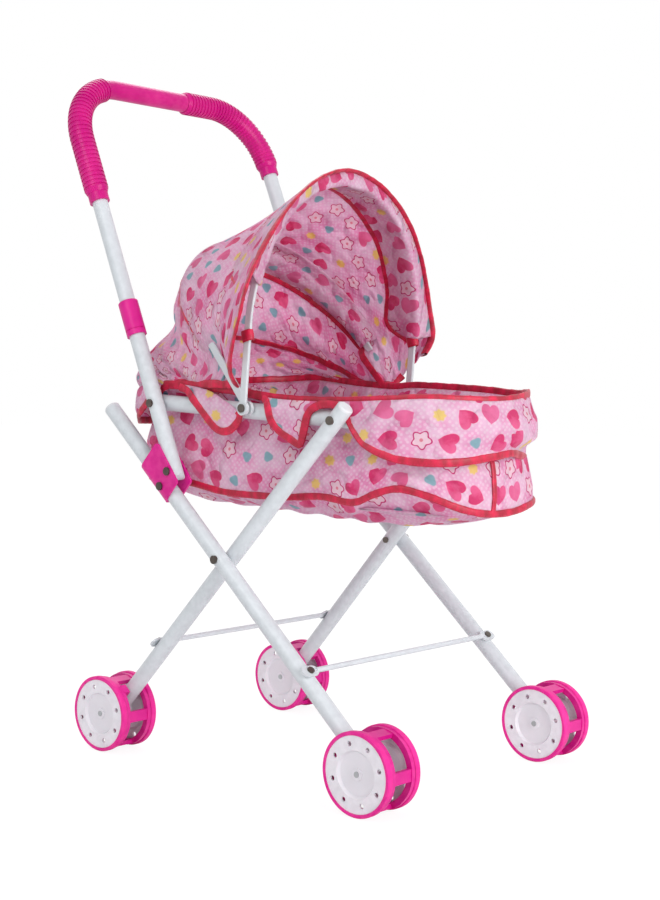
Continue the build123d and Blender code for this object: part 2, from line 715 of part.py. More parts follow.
def round_flap():
    back = ROUND_FLAP_AT - ROUND_FLAP_W / 2
    ahead = ROUND_FLAP_AT + ROUND_FLAP_W / 2
    low_at = ROUND_FLAP_AT + FLAP_SIDE_DROP
    return make_face(Wire([
        Line((back, TUB_RIM), (ahead, TUB_RIM)),
        Line((ahead, TUB_RIM), (ahead, -FLAP_SIDE_DROP)),
        ThreePointArc((ahead, -FLAP_SIDE_DROP), (low_at, -ROUND_FLAP_DROP), (back, FLAP_SIDE_DROP)),
        Line((back, FLAP_SIDE_DROP), (back, TUB_RIM)),
    ]))


def pointed_flap():
    back = POINT_FLAP_AT - POINT_FLAP_W / 2
    ahead = POINT_FLAP_AT + POINT_FLAP_W / 2
    tip = (POINT_FLAP_AT + FLAP_SIDE_DROP, -POINT_FLAP_DROP)
    front_low = (ahead - FLAP_SIDE_DROP, 0)
    swell = POINT_FLAP_DROP / 12
    return make_face(Wire([
        Line((back, TUB_RIM), (ahead, TUB_RIM)),
        Line((ahead, TUB_RIM), front_low),
        ThreePointArc(front_low, ((front_low[0] + tip[0]) / 2 + swell, tip[1] / 2 - swell), tip),
        ThreePointArc(tip, ((back + tip[0]) / 2 - swell, tip[1] / 2 - swell), (back, FLAP_SIDE_DROP)),
        Line((back, FLAP_SIDE_DROP), (back, TUB_RIM)),
    ]))


def side_flaps():
    """A round flap behind the hood pivot and a pointed one ahead of it, on one side."""
    band = skirt_band(SKIRT_DROP)
    right = Pos(0, -SIDE_Y, seat_pivot.Z) * Box(4 * WHEELBASE, 2 * SIDE_Y, 4 * SIDE_Y)
    return [(band & side_cut(profile)) & right for profile in (round_flap(), pointed_flap())]


def rim_binding():
    """The bound hem that closes tub and skirts over the frame loop."""
    outer = extrude(outline(BINDING_T / 2, TUB_RIM + FIT), amount=BINDING_H, dir=seat_up)
    inner = extrude(outline(-BINDING_T / 2, TUB_RIM + FIT), amount=BINDING_H, dir=seat_up)
    return outer - inner


# ---------------------------------------------------------------- hood
def bow_plane(lean_deg):
    turn = math.radians(lean_deg)
    up = Vector(math.sin(turn), 0, math.cos(turn))
    return Plane(origin=hood_pivot, x_dir=(0, 1, 0), z_dir=(up.Z, 0, -up.X))


def arch_edges(half, leg, rise, start):
    """Half a hoop on two straight legs: flat side arcs run into a tighter crown arc."""
    side_r = BOW_SIDE_RATIO * rise
    alpha = math.pi / 2 - 2 * math.atan((side_r - rise) / (side_r - half))
    crown_z = leg + (side_r - half) * math.tan(alpha)
    crown_r = side_r - (side_r - half) / math.cos(alpha)
    turn = math.degrees(alpha)
    knee = (half - side_r + side_r * math.cos(alpha), leg + side_r * math.sin(alpha))
    return [
        Line((half, start), (half, leg)),
        CenterArc((half - side_r, leg), side_r, 0, turn),
        CenterArc((0, crown_z), crown_r, turn, 180 - 2 * turn),
        CenterArc((side_r - half, leg), side_r, 180 - turn, turn),
        Line((-half, leg), (-half, start)),
    ]


def bow(lean_deg, half, leg, rise):
    """A flat strap bent to a hoop, with an eye on each foot for the hood pivot."""
    plane = bow_plane(lean_deg)
    path = plane * Wire(arch_edges(half, leg, rise, BOW_EYE_R - 1.0))
    section = Plane(origin=path @ 0, x_dir=plane.z_dir, z_dir=path % 0)
    body = sweep(section * RectangleRounded(BOW_DEPTH, BOW_T, BOW_EDGE_R), path=path)
    for side in (-1, 1):
        y = side * half
        body += cross_hole(hood_pivot, BOW_EYE_R, y - BOW_T / 2, y + BOW_T / 2)
    return body - cross_hole(hood_pivot, RIVET_R + FIT, -2 * SIDE_Y, 2 * SIDE_Y)


def hood_rivet():
    """Holds both bow eyes on the rail, with a collar that spaces them."""
    rail = rod(seat_point(0, -rail_y(0)), seat_point(seat_splice, -rail_y(seat_splice)), TUBE_R)
    outer = front_bow_y + BOW_T / 2
    body = rivet(hood_pivot, -outer - FIT, -rail_hood_y + TUBE_R, None, rail)
    gaps = (
        (front_bow_y - BOW_T / 2 - FIT, rear_bow_y + BOW_T / 2 + FIT),
        (rear_bow_y - BOW_T / 2 - FIT, rail_hood_y),
    )
    for high, low in gaps:
        body += cross_hole(hood_pivot, RIVET_R + 1.4, -high, -low) - rail
    return body


# Sections of the hood's fabric, each in a plane through the hood pivot: lean in degrees, height of the
# crown, height and half width of the foot, half width above it, share of the height below the arch, and
# the arch's exponent (2 is an ellipse, less is more pointed).
CANOPY_SECTIONS = (
    (6.0, 190.5, 20.0, 106.0, 116.5, 0.36, 1.68),
    (-8.0, 185.0, 20.0, 105.5, 111.0, 0.36, 1.75),
    (-22.0, 177.0, 20.0, 103.5, 106.0, 0.35, 1.9),
    (-39.0, 178.0, 23.0, 101.3, 103.0, 0.33, 2.0),
)
BACK_SECTIONS = (
    (-39.2, 178.0, 23.0, 101.3, 103.0, 0.33, 2.0),
    (-46.0, 174.0, 26.0, 100.7, 101.5, 0.32, 2.05),
    (-52.0, 167.0, 29.0, 100.0, 100.5, 0.31, 2.1),
    (-58.5, 157.0, 34.0, 99.0, 99.5, 0.30, 2.1),
    (-64.0, 155.0, 41.0, 99.0, 99.5, 0.27, 2.15),
    (-70.0, 163.0, 53.0, 98.5, 99.5, 0.24, 2.2),
    (-76.0, 167.0, 76.0, 98.0, 99.5, 0.20, 2.3),
    (-81.0, 162.0, 92.0, 98.0, 99.5, 0.16, 2.4),
    (-86.0, 152.0, 100.0, 98.0, 98.5, 0.12, 2.5),
)
ARCH_POINTS = 8


def hood_section(inset, lean_deg, crown, foot, foot_half, half, share, exponent):
    """The area under the fabric at one lean, shrunk by inset and then open below."""
    knee = foot + share * (crown - foot)
    points = []
    for index in range(ARCH_POINTS + 1):
        turn = math.pi * index / ARCH_POINTS
        across = abs(math.cos(turn)) ** (2 / exponent) * math.copysign(half - inset, math.cos(turn))
        points.append((across, knee + math.sin(turn) ** (2 / exponent) * (crown - inset - knee)))
    foot -= inset
    foot_half -= inset
    edges = [
        Line((foot_half, foot), points[0]),
        Spline(*points, tangents=((0, 1), (0, -1))),
        Line(points[-1], (-foot_half, foot)),
        Line((-foot_half, foot), (foot_half, foot)),
    ]
    return bow_plane(lean_deg) * make_face(Wire(edges))


def above_hem(shape):
    """Trims hood fabric to end just above the rim binding."""
    hem = TUB_RIM + FIT + BINDING_H + SOFT_GAP
    below = Box(6 * SIDE_Y, 3 * SIDE_Y, 3 * SIDE_Y, align=(Align.CENTER, Align.CENTER, Align.MAX))
    return shape - seat_plane * Pos(0, 0, hem) * below


def hood_fabric(sections):
    outer = loft([hood_section(0.0, *section) for section in sections], ruled=True)
    inner = loft([hood_section(CANOPY_T, *section) for section in sections], ruled=True)
    return above_hem(outer - inner)


# ---------------------------------------------------------------- assembly
def on_both(make):
    right = make()
    parts = right if isinstance(right, list) else [right]
    left = [mirrored(part, 1) for part in parts]
    return parts, left


nodes = {}

for name, make in (
    ("front_leg", front_leg),
    ("front_leg_plug", lambda: leg_plug(front_leg_axis(-SIDE_Y)[1], leg_up)),
    ("bracket", bracket),
    ("bracket_rivets", bracket_rivets),
    ("rear_leg", rear_leg),
    ("rear_leg_plug", lambda: leg_plug(
        rear_leg_points()[1], (rear_leg_points()[1] - rear_leg_points()[0]).normalized())),
    ("handle_lower_tube", handle_lower),
    ("handle_connector", connector),
    ("seat_rail", seat_rail),
    ("side_flaps", side_flaps),
):
    right, left = on_both(make)
    nodes[name + "_right"] = right
    nodes[name + "_left"] = left

low, top = front_leg_axis(-SIDE_Y)
front_tube = rod(low, top, TUBE_R)
rear_tube = rod(*rear_leg_points(), TUBE_R)
rail_tube = rod(seat_point(-8, -rail_y(-8)), seat_point(seat_splice, -rail_y(seat_splice)), TUBE_R)


def seat_rivet():
    return rivet(seat_pivot, -SIDE_Y - TUBE_R - FIT, -rail_rear_y + TUBE_R, None, rail_tube)


def open_pin():
    """The rear leg's half of the pivot on the seat rail, cut at the face between them."""
    outer = -rear_leg_top_y - TUBE_R
    shank = cross_hole(rear_leg_pivot, RIVET_R, outer, -rear_leg_top_y + TUBE_R)
    head = cross_hole(rear_leg_pivot, RIVET_HEAD_R, outer - RIVET_HEAD_T, outer + 1.6) - rear_tube
    return shank + head


def open_stub():
    """The seat rail's half of the same pivot."""
    inner = -rail_front_y + TUBE_R
    shank = cross_hole(rear_leg_pivot, RIVET_R, -rail_front_y - TUBE_R, inner)
    tail = cross_hole(rear_leg_pivot, RIVET_HEAD_R * 0.8, inner - 1.4, inner + RIVET_HEAD_T) - rail_tube
    return shank + tail


def both(shape):
    return [shape, mirrored(shape, 1)]


nodes["scissor_rivets"] = both(scissor_rivet())
nodes["seat_rivets"] = both(seat_rivet())
nodes["rear_leg_pins"] = both(open_pin())
nodes["rail_pins"] = both(open_stub())
nodes["hood_rivets"] = both(hood_rivet())

front_spot = at_side(front_axle + leg_up * FRONT_ROD_ALONG, -SIDE_Y)
rear_spot, rear_normal = rear_rod_seat()
nodes["front_cross_rod"] = [cross_rod(front_spot, leg_out)]
nodes["rear_cross_rod"] = [cross_rod(rear_spot, rear_normal)]
nodes["front_rod_screws"] = both(rod_screw(front_spot, leg_out))
nodes["rear_rod_screws"] = both(rod_screw(rear_spot, rear_normal))

nodes["handle_upper_tube"] = [handle_upper()]
nodes["grip_right"] = [grip(GRIP_START, True)]
nodes["grip_left"] = [grip(left_grip_start, False)]
nodes["handle_sleeve"] = [handle_sleeve()]
nodes["seat_front_bow"] = [seat_bow(True)]
nodes["seat_rear_bow"] = [seat_bow(False)]
nodes["bassinet_tub"] = [tub()]
nodes["bassinet_pad"] = [floor_pad()]
nodes["rim_binding"] = [rim_binding()]
nodes["front_skirt"] = [front_skirt()]
nodes["rear_skirt"] = [rear_skirt()]
nodes["hood_front_bow"] = [bow(FRONT_BOW_LEAN, front_bow_y, FRONT_BOW_LEG, FRONT_BOW_RISE)]
nodes["hood_rear_bow"] = [bow(REAR_BOW_LEAN, rear_bow_y, REAR_BOW_LEG, REAR_BOW_RISE)]
nodes["hood_canopy"] = [hood_fabric(CANOPY_SECTIONS)]
nodes["hood_back"] = [hood_fabric(BACK_SECTIONS)]

for place, centre, mid_y, leg_y, leg_ends in (
    ("front", front_axle, SIDE_Y, SIDE_Y, front_leg_axis(-SIDE_Y)),
    ("rear", rear_axle, REAR_TRACK_Y, REAR_LEG_AXLE_Y, rear_leg_points()),
):
    tag = "_" + place
    for kind, right in (
        ("tyres", tyres(centre, -mid_y)),
        ("discs", wheel_discs(centre, -mid_y, -leg_y)),
        ("axle", [axle(centre, -mid_y)]),
        ("cage", [cage(centre, -mid_y, -leg_y, leg_ends)]),
    ):
        nodes[kind + tag + "_right"] = right
        nodes[kind + tag + "_left"] = [mirrored(shape, 1) for shape in right]

os.makedirs("parts", exist_ok=True)
for name, shapes in nodes.items():
    solids = [solid for shape in shapes for solid in shape.solids()]
    export_step(Compound(children=solids) if len(solids) > 1 else solids[0], "parts/" + name + ".step")

print("nodes", len(nodes))
for label, point in (
    ("scissor", scissor), ("handle_pivot", handle_pivot), ("seat_pivot", seat_pivot),
    ("rear_leg_pivot", rear_leg_pivot), ("hood_pivot", hood_pivot),
    ("front_axle", front_axle), ("rear_axle", rear_axle),
):
    print(label, round(point.X, 4), round(point.Z, 4))
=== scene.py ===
import json
import math

import bpy
import bmesh
import numpy as np
from mathutils import Matrix, Vector


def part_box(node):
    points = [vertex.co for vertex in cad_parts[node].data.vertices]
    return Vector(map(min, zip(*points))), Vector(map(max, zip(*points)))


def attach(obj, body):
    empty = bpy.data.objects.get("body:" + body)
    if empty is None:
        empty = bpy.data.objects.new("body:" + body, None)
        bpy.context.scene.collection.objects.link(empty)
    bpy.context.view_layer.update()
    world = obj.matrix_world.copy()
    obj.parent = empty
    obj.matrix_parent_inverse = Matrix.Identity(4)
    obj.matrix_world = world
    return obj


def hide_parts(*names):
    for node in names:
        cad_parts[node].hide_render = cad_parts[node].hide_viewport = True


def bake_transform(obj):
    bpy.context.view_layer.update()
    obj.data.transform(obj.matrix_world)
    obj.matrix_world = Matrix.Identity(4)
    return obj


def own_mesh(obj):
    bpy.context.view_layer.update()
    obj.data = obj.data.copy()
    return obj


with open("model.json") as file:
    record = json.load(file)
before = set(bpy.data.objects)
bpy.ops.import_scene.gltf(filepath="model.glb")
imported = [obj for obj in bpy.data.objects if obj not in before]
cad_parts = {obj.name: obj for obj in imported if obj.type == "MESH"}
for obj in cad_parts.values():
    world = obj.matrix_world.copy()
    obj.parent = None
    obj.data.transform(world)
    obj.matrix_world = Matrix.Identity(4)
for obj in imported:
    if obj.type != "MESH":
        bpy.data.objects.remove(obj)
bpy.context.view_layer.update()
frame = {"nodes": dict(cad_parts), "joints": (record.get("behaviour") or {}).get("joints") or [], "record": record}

JOINT = {j["name"]: j for j in frame["joints"]}
NODE = frame["nodes"]


def jpos(name):
    return np.array(JOINT[name]["pos_m"], float)


REAR_X = jpos("rear_wheel_spin_right")[0]
HOOD = jpos("hood_fold")
SEAT = jpos("seat_fold")
mm = 0.001

# ------------------------------------------------------------------ materials


def lin(c):
    """An 8-bit sRGB colour as a linear one."""
    c = np.array(c, float) / 255
    v = np.where(c <= 0.04045, c / 12.92, ((c + 0.055) / 1.055) ** 2.4)
    return (float(v[0]), float(v[1]), float(v[2]), 1.0)


class Net:
    """Short calls for building a node tree."""

    def __init__(self, name, kind="materials", first="Principled BSDF", last="Material Output"):
        self.mat = getattr(bpy.data, kind).new(name)
        self.mat.use_nodes = True
        self.nt = self.mat.node_tree
        self.bsdf, self.out = self.nt.nodes[first], self.nt.nodes[last]

    def put(self, socket, value):
        if isinstance(value, bpy.types.NodeSocket):
            self.nt.links.new(value, socket)
        else:
            socket.default_value = value

    def add(self, kind, inputs=(), **props):
        n = self.nt.nodes.new(kind)
        for k, v in props.items():
            setattr(n, k, v)
        for k, v in dict(inputs).items():
            self.put(n.inputs[k], v)
        return n

    def math(self, op, a, b=0.0):
        return self.add("ShaderNodeMath", enumerate((a, b)), operation=op).outputs[0]

    def mul(self, a, b):
        return self.math("MULTIPLY", a, b)

    def plus(self, a, b):
        return self.math("ADD", a, b)

    def less(self, a, b):
        return self.math("SUBTRACT", a, b)

    def mix(self, f, a, b):
        return self.add("ShaderNodeMix", {0: f, 6: a, 7: b}, data_type="RGBA").outputs[2]

    def noise(self, vector, scale, detail=3.0, rough=0.55):
        inputs = {"Vector": vector, "Scale": scale, "Detail": detail, "Roughness": rough}
        return self.add("ShaderNodeTexNoise", inputs).outputs["Fac"]

    def step(self, x, low, high):
        """0 below low, rising smoothly to 1 at high."""
        span = enumerate((x, low, high, 0.0, 1.0))
        return self.add("ShaderNodeMapRange", span, interpolation_type="SMOOTHSTEP").outputs[0]

    def fade(self, x, low, high):
        """1 below low, falling smoothly to 0 at high."""
        return self.less(1.0, self.step(x, low, high))

    def bump(self, height, strength, distance, normal=None):
        inputs = {"Strength": strength, "Distance": distance, "Height": height}
        if normal is not None:
            inputs["Normal"] = normal
        return self.add("ShaderNodeBump", inputs).outputs[0]

    def combine(self, x, y):
        return self.add("ShaderNodeCombineXYZ", enumerate((x, y))).outputs[0]

    def split(self, vector):
        return self.add("ShaderNodeSeparateXYZ", {0: vector}).outputs[:2]

    def shade(self, f, a, b):
        """A mix of two shaders, which becomes the surface."""
        n = self.add("ShaderNodeMixShader", enumerate((f, a, b)))
        self.put(self.out.inputs[0], n.outputs[0])
        return n.outputs[0]

    def object(self):
        return self.add("ShaderNodeTexCoord").outputs["Object"]

    def uv(self):
        return self.add("ShaderNodeTexCoord").outputs["UV"]

    def set(self, **values):
        for k, v in values.items():
            self.put(self.bsdf.inputs[k.replace("_", " ")], v)


# scales of the noises in the hard materials, per metre
MOTTLE, GRAIN, RUBS, PEEL = 38.0, 900.0, 160.0, 240.0


def hard_material(name, colour, rough=0.35, coat=0.0, bump=0.06, vary=0.10, sss=0.0, metal=0.0, spec=0.4):
    """Moulded plastic or painted metal: mottled colour, uneven gloss, fine surface grain and rubbed edges."""
    n = Net(name)
    p = n.object()
    cloud = n.noise(p, MOTTLE, 4.0)
    fine = n.noise(p, GRAIN, 2.0)
    dark = tuple(c * (1 - vary) for c in colour[:3]) + (1.0,)
    light = tuple(min(1.0, c * (1 + vary) + 0.01) for c in colour[:3]) + (1.0,)
    tone = n.mix(n.step(cloud, 0.3, 0.7), dark, light)
    geo = n.add("ShaderNodeNewGeometry").outputs["Pointiness"]
    worn = n.mul(n.step(geo, 0.52, 0.60), n.step(n.noise(p, RUBS, 3.0), 0.35, 0.65))
    pale = tuple(min(1.0, c * 1.15 + 0.06) for c in colour[:3]) + (1.0,)
    n.set(Base_Color=n.mix(n.mul(worn, 0.35), tone, pale))
    n.set(Roughness=n.plus(rough - 0.05, n.mul(cloud, 0.14)))
    n.set(Metallic=metal, Specular_IOR_Level=spec)
    if coat:
        n.set(Coat_Weight=coat, Coat_Roughness=0.12)
    if sss:
        n.set(Subsurface_Weight=sss, Subsurface_Radius=(0.004, 0.0015, 0.002), Subsurface_Scale=0.3)
    peel = n.bump(n.noise(p, PEEL, 2.0), bump * 1.5, 0.4 * mm)
    n.set(Normal=n.bump(fine, bump, 0.2 * mm, peel))
    return n.mat


# the print: the cell of each motif, the shift from row to row, and how far a motif strays and turns in its cell
PRINT_CELL, ROW_SHIFT, STRAY, TURN = 19.5 * mm, 0.37, 5.0 * mm, 5.2
# each cell draws a number from 0 to 1: hearts up to the first of these, then teal spots, yellow spots and flowers
HEARTS_TO, TEAL_TO, YELLOW_TO = 0.45, 0.62, 0.78
PALE_HEARTS_FROM = 0.30
HEART_SIZE, HEART_SPREAD = 5.5 * mm, 1.2 * mm
FLOWER, PETAL_DEPTH, EYE = 6.3 * mm, 1.0 * mm, 1.1 * mm
PIN_DOT_PITCH = 3.3 * mm
THREADS = 520.0  # scale of the bands that make the weave
LIGHT_THROUGH = 0.42


def heart(n, x, y, size):
    """1 inside a heart of about half-width size, with its point down -y: xx + yy < 1 + 1.2 y |x|^(2/3)."""
    x = n.math("ABSOLUTE", n.math("DIVIDE", x, size))
    y = n.math("DIVIDE", y, size)
    round_ = n.plus(n.mul(x, x), n.mul(y, y))
    lobes = n.mul(y, n.math("POWER", x, 0.6667))
    inside = n.plus(n.less(1.0, round_), n.mul(lobes, 1.2))
    return n.step(inside, -0.10, 0.10)


def fabric_print(name, shade_by=1.0):
    """Thin printed polyester: hearts, soft spots and little five-petal flowers over pin dots on pink; shade_by darkens
    it all as painted shade.
    """
    n = Net(name)
    uv = n.uv()
    # the edges of the print waver a little
    warp = n.add("ShaderNodeTexNoise", {"Vector": uv, "Scale": 70.0}, noise_dimensions="2D").outputs["Color"]
    off = n.add("ShaderNodeVectorMath", {0: warp, 1: (1.2 * mm, 1.2 * mm, 0.0), 2: uv}, operation="MULTIPLY_ADD")
    flat_x, flat_y = n.split(off.outputs[0])
    row_at = n.math("DIVIDE", flat_y, PRINT_CELL)
    row = n.math("FLOOR", row_at)
    col_at = n.plus(n.math("DIVIDE", flat_x, PRINT_CELL), n.mul(row, ROW_SHIFT))
    col = n.math("FLOOR", col_at)
    drawn = n.add("ShaderNodeTexWhiteNoise", {"Vector": n.combine(col, row)}, noise_dimensions="2D").outputs
    red, green, blue = n.add("ShaderNodeSeparateColor", {0: drawn["Color"]}).outputs
    pick = drawn["Value"]

    def local(at, whole, jitter):
        middle = n.less(n.less(at, whole), 0.5)
        stray = n.mul(n.less(jitter, 0.5), STRAY)
        return n.less(n.mul(middle, PRINT_CELL), stray)

    def turned(vector, angle):
        return n.add("ShaderNodeVectorRotate", {"Vector": vector, "Angle": angle}, rotation_type="Z_AXIS").outputs[0]

    motif = n.combine(local(col_at, col, red), local(row_at, row, green))
    x, y = n.split(turned(motif, n.mul(n.less(blue, 0.5), TURN)))
    radius = n.math("SQRT", n.plus(n.mul(x, x), n.mul(y, y)))
    angle = n.math("ARCTAN2", y, x)

    def between(low, high):
        return n.mul(n.math("GREATER_THAN", pick, low), n.math("LESS_THAN", pick, high))

    clouds = n.noise(uv, 34.0, 4.0)
    base = n.mix(n.step(clouds, 0.38, 0.68), lin((249, 214, 236)), lin((245, 164, 210)))
    spread = {"Vector": turned(uv, math.radians(45)), "Scale": 1 / PIN_DOT_PITCH, "Randomness": 0.45}
    dots = n.add("ShaderNodeTexVoronoi", spread, voronoi_dimensions="2D", feature="F1")
    dot = n.fade(dots.outputs["Distance"], 0.22, 0.42)
    colour = n.mix(n.mul(dot, 0.5), base, lin((255, 240, 248)))

    # soft teal and yellow spots: radius, number and depth of the waves in the edge, its softness, share and colour
    for size, waves, depth, soft, low, high, tint in (
            (3.9 * mm, 3.0, 0.55 * mm, 0.5 * mm, HEARTS_TO, TEAL_TO, (132, 196, 204)),
            (4.2 * mm, 7.0, 0.45 * mm, 0.9 * mm, TEAL_TO, YELLOW_TO, (254, 228, 116))):
        wave = n.mul(n.math("SINE", n.mul(angle, waves)), depth)
        spot = n.fade(n.less(radius, n.plus(size, wave)), -soft, 0.6 * mm)
        colour = n.mix(n.mul(n.mul(spot, between(low, high)), 0.85), colour, lin(tint))

    # hearts, washed lighter to one side
    size = n.plus(HEART_SIZE, n.mul(green, HEART_SPREAD))
    fill = heart(n, x, y, size)
    wash = n.step(n.plus(n.noise(uv, 150.0, 3.0), n.mul(x, 40.0)), 0.3, 0.75)
    tone = n.mix(wash, lin((232, 44, 122)), lin((246, 104, 162)))
    tone = n.mix(n.mul(between(PALE_HEARTS_FROM, HEARTS_TO), 0.45), tone, lin((250, 150, 202)))
    colour = n.mix(n.mul(n.mul(fill, between(-0.1, HEARTS_TO)), 0.94), colour, tone)

    # flowers: a dark pink outline, pale petals and a warm eye
    petal = n.plus(FLOWER, n.mul(n.math("COSINE", n.mul(angle, 5.0)), PETAL_DEPTH))
    away = n.less(radius, petal)
    disc = n.fade(away, -0.1 * mm, 0.35 * mm)
    pale = n.fade(away, -1.1 * mm, -0.7 * mm)
    eye = n.fade(radius, EYE, 1.5 * mm)
    flower = n.mix(pale, lin((216, 52, 132)), lin((253, 224, 236)))
    flower = n.mix(eye, flower, lin((240, 150, 170)))
    colour = n.mix(n.mul(disc, between(YELLOW_TO, 1.1)), colour, flower)

    # weave, and creases with painted shade in their hollows
    threads = []
    for direction in "XY":
        bands = {"Vector": uv, "Scale": THREADS}
        wave = n.add("ShaderNodeTexWave", bands, wave_type="BANDS", bands_direction=direction)
        threads.append(wave.outputs["Fac"])
    weave = n.mul(*threads)
    crease = n.noise(uv, 60.0, 5.0, 0.6)
    # painted shade: the colour darkens where the creases sink
    shade = n.plus(0.93, n.mul(n.step(crease, 0.3, 0.7), 0.07))
    woven = n.mix(n.mul(weave, 0.03), colour, lin((255, 238, 247)))
    # shade_by darkens the whole print as painted shade
    shaded = n.add("ShaderNodeVectorMath", {0: woven, "Scale": n.mul(shade, shade_by)}, operation="SCALE").outputs[0]
    n.set(Base_Color=shaded, Roughness=n.plus(0.62, n.mul(crease, 0.2)))
    n.set(Sheen_Weight=0.15, Sheen_Roughness=0.4, Specular_IOR_Level=0.3)
    ridge = n.math("ABSOLUTE", n.less(n.noise(uv, 30.0, 2.0), 0.5))
    n.set(Normal=n.bump(weave, 0.2, 0.2 * mm, n.bump(crease, 0.6, 2.2 * mm, n.bump(ridge, 1.0, 18.0 * mm))))
    # thin cloth lets some light through
    through = n.add("ShaderNodeBsdfTranslucent", {"Color": shaded})
    n.shade(LIGHT_THROUGH, n.bsdf.outputs[0], through.outputs[0])
    return n.mat


STITCH = 2.6 * mm  # from one stitch to the next


def satin(name):
    """Woven satin tape, creased across its length, with a stitched row near one edge, and painted shade and highlight
    along its creases.
    """
    n = Net(name)
    uv = n.uv()
    along, across = n.split(uv)
    folds = n.noise(n.combine(n.mul(along, 130.0), n.mul(across, 70.0)), 1.0, 3.0)
    # the colour follows the folds: painted shade in their hollows, painted highlight on their crests
    tone = n.mix(n.step(folds, 0.32, 0.70), lin((158, 2, 40)), lin((210, 8, 66)))
    dash = n.math("GREATER_THAN", n.math("SINE", n.mul(along, 2 * math.pi / STITCH)), -0.35)
    row = n.fade(n.math("ABSOLUTE", across), 0.16 * mm, 0.30 * mm)
    stitch = n.mul(dash, row)
    n.set(Base_Color=n.mix(n.mul(stitch, 0.3), tone, lin((226, 60, 104))))
    n.set(Roughness=n.plus(0.36, n.mul(folds, 0.18)), Sheen_Weight=0.1)
    thread = n.noise(n.combine(n.mul(along, 3000.0), n.mul(across, 500.0)), 1.0, 1.0)
    n.set(Normal=n.bump(thread, 0.10, 0.2 * mm, n.bump(folds, 0.5, 0.9 * mm, n.bump(stitch, -0.6, 0.3 * mm))))
    return n.mat


PRINT = fabric_print("printed_polyester")
# the same print for the sleeves and the floor pad, 5% darker as painted shade
SHADED_LINING = fabric_print("printed_polyester_lining_painted_shade", 0.95)
RED = satin("red_satin_tape")
CAP = hard_material("grey_end_plug", lin((214, 216, 219)), 0.45, bump=0.08, vary=0.04)
BY_SLOT = {
    "white_paint": hard_material("white_powder_coat", lin((202, 207, 211)), 0.36, coat=0.2, bump=0.02, vary=0.015),
    "pink_plastic": hard_material("pink_moulding", lin((214, 4, 136)), 0.34,
                                  spec=0.3, coat=0.04, bump=0.08, vary=0.07, sss=0.08),
    "grip_foam": hard_material("pink_grip_vinyl", lin((200, 0, 122)), 0.30, spec=0.22, bump=0.16, vary=0.08, sss=0.06),
    "white_plastic": hard_material("white_wheel_plastic", lin((226, 222, 228)), 0.42,
                                   coat=0.1, bump=0.05, vary=0.025, sss=0.06),
    "tyre_pink": hard_material("pink_tyre_ring", lin((226, 20, 142)), 0.46, spec=0.3, bump=0.14, vary=0.07, sss=0.05),
    "fabric_print": PRINT,
    "red_binding": RED,
    "rivet_steel": hard_material("dark_rivet", lin((92, 84, 78)), 0.34, bump=0.1, vary=0.2, metal=0.85),
    "axle_steel": hard_material("plain_axle_steel", lin((176, 178, 180)), 0.3, bump=0.06, vary=0.08, metal=0.9),
}
for part in frame["record"]["subparts"]:
    node = NODE[part["node"]]
    material = CAP if "plug" in part["node"] else BY_SLOT[part["material_slot"]]
    node.data.materials.clear()
    node.data.materials.append(material)

# ------------------------------------------------------------------ mesh helpers


def make_mesh(name, verts, faces, uvs, material):
    me = bpy.data.meshes.new(name)
    me.from_pydata([tuple(v) for v in verts], [], faces)
    layer = me.uv_layers.new(name="UVMap")
    for poly in me.polygons:
        for li in poly.loop_indices:
            layer.data[li].uv = uvs[me.loops[li].vertex_index]
        poly.use_smooth = True
    me.materials.append(material)
    ob = bpy.data.objects.new(name, me)
    bpy.context.scene.collection.objects.link(ob)
    return ob


def weld(ob):
    """Joins the points that coincide and turns the faces outward."""
    bm = bmesh.new()
    bm.from_mesh(ob.data)
    bmesh.ops.remove_doubles(bm, verts=bm.verts, dist=1e-6)
    bmesh.ops.recalc_face_normals(bm, faces=bm.faces)
    bm.to_mesh(ob.data)
    bm.free()


def grid(name, pts, uv, material, thick=0.0):
    """A smooth sheet through a grid of points, with its own thickness."""
    pts = np.asarray(pts, float)
    rows, cols = pts.shape[:2]
    faces = []
    for i in range(rows - 1):
        for j in range(cols - 1):
            a = i * cols + j
            faces.append((a, a + 1, a + cols + 1, a + cols))
    ob = make_mesh(name, pts.reshape(-1, 3), faces, np.asarray(uv).reshape(-1, 2).tolist(), material)
    weld(ob)
    if thick:
        solid = ob.modifiers.new("cloth_thickness", "SOLIDIFY")
        solid.thickness = thick
        solid.offset = 0.0
        bake(ob)
    return ob


def bake(ob):
    """Applies the modifiers to the mesh."""
    bpy.context.view_layer.update()
    dg = bpy.context.evaluated_depsgraph_get()
    me = bpy.data.meshes.new_from_object(ob.evaluated_get(dg))
    ob.modifiers.clear()
    ob.data = me


def unit(v):
    return v / (np.linalg.norm(v, axis=-1, keepdims=True) + 1e-12)


def arc_length(p):
    d = np.linalg.norm(np.diff(p, axis=0), axis=1)
    return np.concatenate([[0], np.cumsum(d)])


def resample(p, count):
    s = arc_length(p)
    t = np.linspace(0, s[-1], count)
    return np.stack([np.interp(t, s, p[:, k]) for k in range(p.shape[1])], axis=1)


def smooth_line(p, count):
    """Catmull-Rom through points, evenly resampled."""
    p = np.asarray(p, float)
    q = np.vstack([2 * p[0] - p[1], p, 2 * p[-1] - p[-2]])
    out = []
    for i in range(1, len(q) - 2):
        for t in np.linspace(0, 1, 16, endpoint=False):
            a, b, c, d = q[i - 1:i + 3]
            square, cube = 2 * a - 5 * b + 4 * c - d, 3 * b - a - 3 * c + d
            out.append(0.5 * (2 * b + (c - a) * t + square * t**2 + cube * t**3))
    out.append(q[-2])
    return resample(np.array(out), count)


def ripple(s, seed, scale):
    """Smooth irregular wobble along a length, about -1 to 1."""
    r = np.random.default_rng(seed)
    v = np.zeros_like(s)
    for k in range(1, 6):
        v += np.sin(s * scale * k * (0.8 + 0.4 * r.random()) + r.random() * 6.28) / k
    return v / 1.6


AROUND_TAPE = 14  # points round a tape


